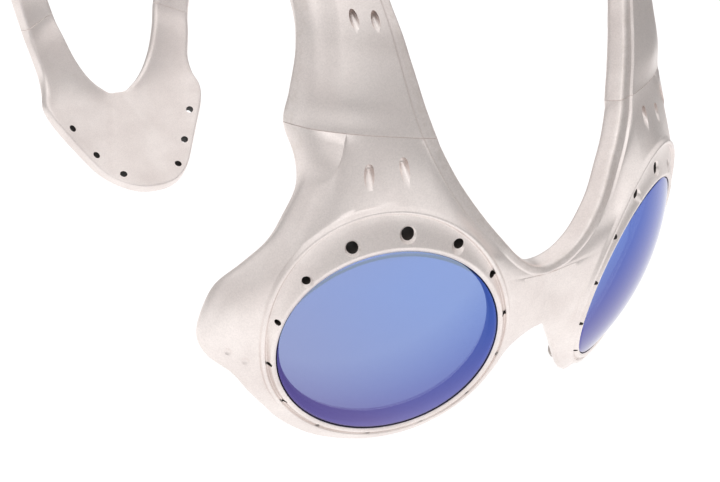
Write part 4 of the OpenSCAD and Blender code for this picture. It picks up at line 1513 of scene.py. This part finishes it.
def lens_solid():
    """Points and faces of a lens, and the number of its last coated point."""
    r = LENS_D / 2
    centre = DOME_H - LENS_SINK - DOME_R
    radii = [r * i / LENS_RINGS for i in range(LENS_RINGS + 1)]
    outer = [(x, centre + math.sqrt(DOME_R**2 - x**2)) for x in radii]
    inner = [(x, centre + math.sqrt((DOME_R - LENS_T) ** 2 - x**2)) for x in radii[::-1]]
    top, low = outer[-1][1], inner[0][1]
    edge_line = [(r - CHAMFER, top + CHAMFER_RISE), (r, top - CHAMFER)]
    edge_line += [(r, low + CHAMFER), (r - CHAMFER, low + CHAMFER_RISE)]
    points, faces = lathe(outer[:-1] + edge_line + inner[1:], LENS_SEGMENTS)
    return points, faces, (len(outer) + 1) * LENS_SEGMENTS


class EYEWEAR_OT_lenses(bpy.types.Operator):
    """Sets the two domed lenses, coated outside and tinted behind."""

    bl_idname = "eyewear.lenses"
    bl_label = "Lenses"

    def execute(self, context):
        coat, body = mirror_coat(context.scene.eyewear_finish), tinted_body()
        points, faces, coated = lens_solid()
        for side, mirror_x in SIDES:
            mesh = bpy.data.meshes.new(f"{side}_lens_piece")
            mesh.from_pydata(points, [], faces)
            for face in mesh.polygons:
                face.material_index = 0 if max(face.vertices) <= coated else 1
            place(mesh, lens_matrix(mirror_x))
            obj = started(f"{side}_lens_piece", mesh, coat, body)
            smooth(obj)
            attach(obj, f"{side}_lens_body")
            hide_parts(f"{side}_lens")
        return {"FINISHED"}


# Angle, radius and depth of the wall behind a nose pad, in the lens frame, and
# the share of its size to which a pad is drawn together towards it
PAD_ROOT = (306, 23, 5.5)
PAD_SHARE = 0.66
# Rounding of a pad in mm, and the angles in degrees past which an edge of a pad
# is rounded and past which it stays sharp
PAD_ROUND = 0.25
PAD_ROUND_A = 25
PAD_SHARP_A = 40


class EYEWEAR_OT_nose_pads(bpy.types.Operator):
    """Sets the two soft nose pads behind the rims."""

    bl_idname = "eyewear.nose_pads"
    bl_label = "Nose pads"

    def execute(self, context):
        rubber = soft_rubber(context.scene.eyewear_finish)
        for side, mirror_x in SIDES:
            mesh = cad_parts[f"{side}_nose_pad"].data.copy()
            mesh.name = f"{side}_pad"
            # Drawn together towards the wall that it is pegged to, behind the skirt
            anchor = standing(round_point(*PAD_ROOT))
            anchor = Vector(anchor * [-1 if mirror_x else 1, 1, 1])
            there, back = Matrix.Translation(anchor), Matrix.Translation(-anchor)
            mesh.transform(there @ Matrix.Scale(PAD_SHARE, 4) @ back)
            mesh.materials.clear()
            obj = started(f"{side}_pad", mesh, rubber)
            bevel = obj.modifiers.new("rounding", "BEVEL")
            bevel.width = PAD_ROUND * MM
            bevel.segments = 3
            bevel.limit_method = "ANGLE"
            bevel.angle_limit = math.radians(PAD_ROUND_A)
            plain(obj, f"{side}_pad")
            smooth(obj, PAD_SHARP_A)
            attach(obj, FRAME_BODY)
            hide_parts(f"{side}_nose_pad")
        return {"FINISHED"}


# The camera, solved from the photo, and how near and how far it sees, in metres
CAMERA_AT = (-0.157923, -0.247930, 0.131345)
CAMERA_RIGHT = (0.801663, -0.597041, 0.029638)
CAMERA_UP = (0.21055, 0.328418, 0.920766)
CAMERA_WAY = (0.559469, 0.731904, -0.388988)
CAMERA_SENSOR = 36
CAMERA_CLIP = (0.01, 50)
# How far the floor reaches from the middle, and from where to where the light
# table fades, in metres, and how bright the floor itself is to the camera
FLOOR_HALF = 3
TABLE_FADE = (0.4, 0.9)
FLOOR_GLOW = 0.8
# Softboxes: name, place, and power as a multiple of the key power
LAMPS = (("key", (-0.55, -0.75, 0.75), 4), ("left_fill", (-1.0, 0.1, 0.25), 2))
LAMP_AIM = (0, 0, 0.06)
LAMP_SIZE = 0.8


def area_lamp(name, place_at, power):
    """A round softbox that looks at the part."""
    data = bpy.data.lights.new(name, "AREA")
    data.shape = "DISK"
    data.size = LAMP_SIZE
    data.energy = power
    obj = bpy.data.objects.new(name, data)
    obj.location = place_at
    obj.rotation_euler = (Vector(place_at) - Vector(LAMP_AIM)).to_track_quat("Z", "Y").to_euler()
    bpy.context.scene.collection.objects.link(obj)


def photo_camera(focal):
    """The camera of the photo."""
    data = bpy.data.cameras.new("photo_camera")
    data.lens = focal
    data.sensor_width = CAMERA_SENSOR
    data.clip_start, data.clip_end = CAMERA_CLIP
    camera = bpy.data.objects.new("photo_camera", data)
    m = Matrix.Identity(4)
    for row in range(3):
        m[row][0], m[row][1], m[row][2] = CAMERA_RIGHT[row], CAMERA_UP[row], -CAMERA_WAY[row]
        m[row][3] = CAMERA_AT[row]
    camera.matrix_world = m
    bpy.context.scene.collection.objects.link(camera)
    bpy.context.scene.camera = camera


def white_room(s):
    """The room: white where it is seen, dim at eye level, more so in front, and
    bright overhead."""
    world = bpy.data.worlds.new("white_room")
    world.use_nodes = True
    tree = world.node_tree
    tree.nodes.clear()
    path = add(tree, "ShaderNodeLightPath").outputs
    camera_ray, through_ray = path["Is Camera Ray"], path["Is Transmission Ray"]
    seen = add(tree, MATH, {"operation": "MAXIMUM"}, i0=camera_ray, i1=through_ray)
    way = add(tree, "ShaderNodeTexCoord").outputs["Generated"]
    way = add(tree, "ShaderNodeSeparateXYZ", Vector=way).outputs
    rise = add(tree, RANGE, i0=way["Z"], i1=0.12, i2=0.5, i3=s.fill, i4=s.overhead)
    turn = add(tree, RANGE, i0=way["Y"], i1=-1.0, i2=1.0, i3=s.front, i4=1.0)
    room = add(tree, MATH, {"operation": "MULTIPLY"}, i0=rise.outputs[0], i1=turn.outputs[0])
    room = add(
        tree, MIX, {"data_type": "FLOAT"}, i0=seen.outputs[0], i2=room.outputs[0], i3=1.0
    )
    light = add(tree, "ShaderNodeBackground", Color=WHITE, Strength=room.outputs[0])
    add(tree, "ShaderNodeOutputWorld", Surface=light.outputs[0])
    bpy.context.scene.world = world


def pale_floor(s):
    """The floor: seen, it is white and keeps a faint shadow. To the part it is a
    light table, whose light pools round the part."""
    material, tree = start_material("pale_floor")
    paper = add(tree, "ShaderNodeBsdfDiffuse", Color=tuple(s.floor) + (1,))
    white = add(tree, "ShaderNodeEmission", Color=WHITE, Strength=FLOOR_GLOW)
    seen = add(tree, "ShaderNodeAddShader", i0=paper.outputs[0], i1=white.outputs[0])
    middle = add(tree, "ShaderNodeTexCoord").outputs["Object"]
    far = add(tree, "ShaderNodeVectorMath", {"operation": "LENGTH"}, i0=middle).outputs["Value"]
    near, gone = TABLE_FADE
    pool = add(tree, RANGE, i0=far, i1=near, i2=gone, i3=s.table, i4=s.fill)
    table = add(tree, "ShaderNodeEmission", Color=WHITE, Strength=pool.outputs[0])
    camera_ray = add(tree, "ShaderNodeLightPath").outputs["Is Camera Ray"]
    mixed = add(
        tree, "ShaderNodeMixShader", i0=camera_ray, i1=table.outputs[0], i2=seen.outputs[0]
    )
    add(tree, OUTPUT, Surface=mixed.outputs[0])
    return material


class EYEWEAR_OT_studio(bpy.types.Operator):
    """Sets the pale floor, the soft light and the camera."""

    bl_idname = "eyewear.studio"
    bl_label = "Studio"

    def execute(self, context):
        s = context.scene.eyewear_studio
        context.scene.view_settings.view_transform = "Standard"
        photo_camera(s.focal)
        white_room(s)
        mesh = bpy.data.meshes.new("floor")
        corners = [(-1, -1), (1, -1), (1, 1), (-1, 1)]
        corners = [(x * FLOOR_HALF, y * FLOOR_HALF, 0) for x, y in corners]
        mesh.from_pydata(corners, [], [(0, 1, 2, 3)])
        mesh.materials.append(pale_floor(s))
        floor = link("floor", mesh)
        for name, place_at, share in LAMPS:
            area_lamp(name, place_at, s.key_power * share)
        return {"FINISHED"}


# The groups of properties, and where the scene keeps them
GROUPS = (
    ("eyewear_shell", EyewearShell),
    ("eyewear_finish", EyewearFinish),
    ("eyewear_studio", EyewearStudio),
)
OPERATORS = (
    EYEWEAR_OT_front_moulding,
    EYEWEAR_OT_crown_bands,
    EYEWEAR_OT_rear_yoke,
    EYEWEAR_OT_lenses,
    EYEWEAR_OT_nose_pads,
    EYEWEAR_OT_studio,
)


class EYEWEAR_PT_pieces(bpy.types.Panel):
    """Lists the pieces, their sizes and their finishes."""

    bl_idname = "EYEWEAR_PT_pieces"
    bl_label = "Eyewear"
    bl_space_type = "VIEW_3D"
    bl_region_type = "UI"
    bl_category = "Eyewear"

    def draw(self, context):
        for group, _ in GROUPS:
            values = getattr(context.scene, group)
            box = self.layout.box()
            for name in values.__annotations__:
                box.prop(values, name)
        for operator in OPERATORS:
            self.layout.operator(operator.bl_idname)


def register():
    """Adds the properties, the operators and the panel."""
    for name, group in GROUPS:
        bpy.utils.register_class(group)
        setattr(bpy.types.Scene, name, PointerProperty(type=group))
    for made in (*OPERATORS, EYEWEAR_PT_pieces):
        bpy.utils.register_class(made)


def unregister():
    """Takes them away again."""
    for made in (EYEWEAR_PT_pieces, *OPERATORS[::-1]):
        bpy.utils.unregister_class(made)
    for name, group in GROUPS[::-1]:
        delattr(bpy.types.Scene, name)
        bpy.utils.unregister_class(group)


def main():
    """Builds everything."""
    register()
    bpy.ops.eyewear.studio()
    bpy.ops.eyewear.front_moulding()
    bpy.ops.eyewear.crown_bands()
    bpy.ops.eyewear.rear_yoke()
    bpy.ops.eyewear.lenses()
    bpy.ops.eyewear.nose_pads()


if __name__ == "__main__":
    main()
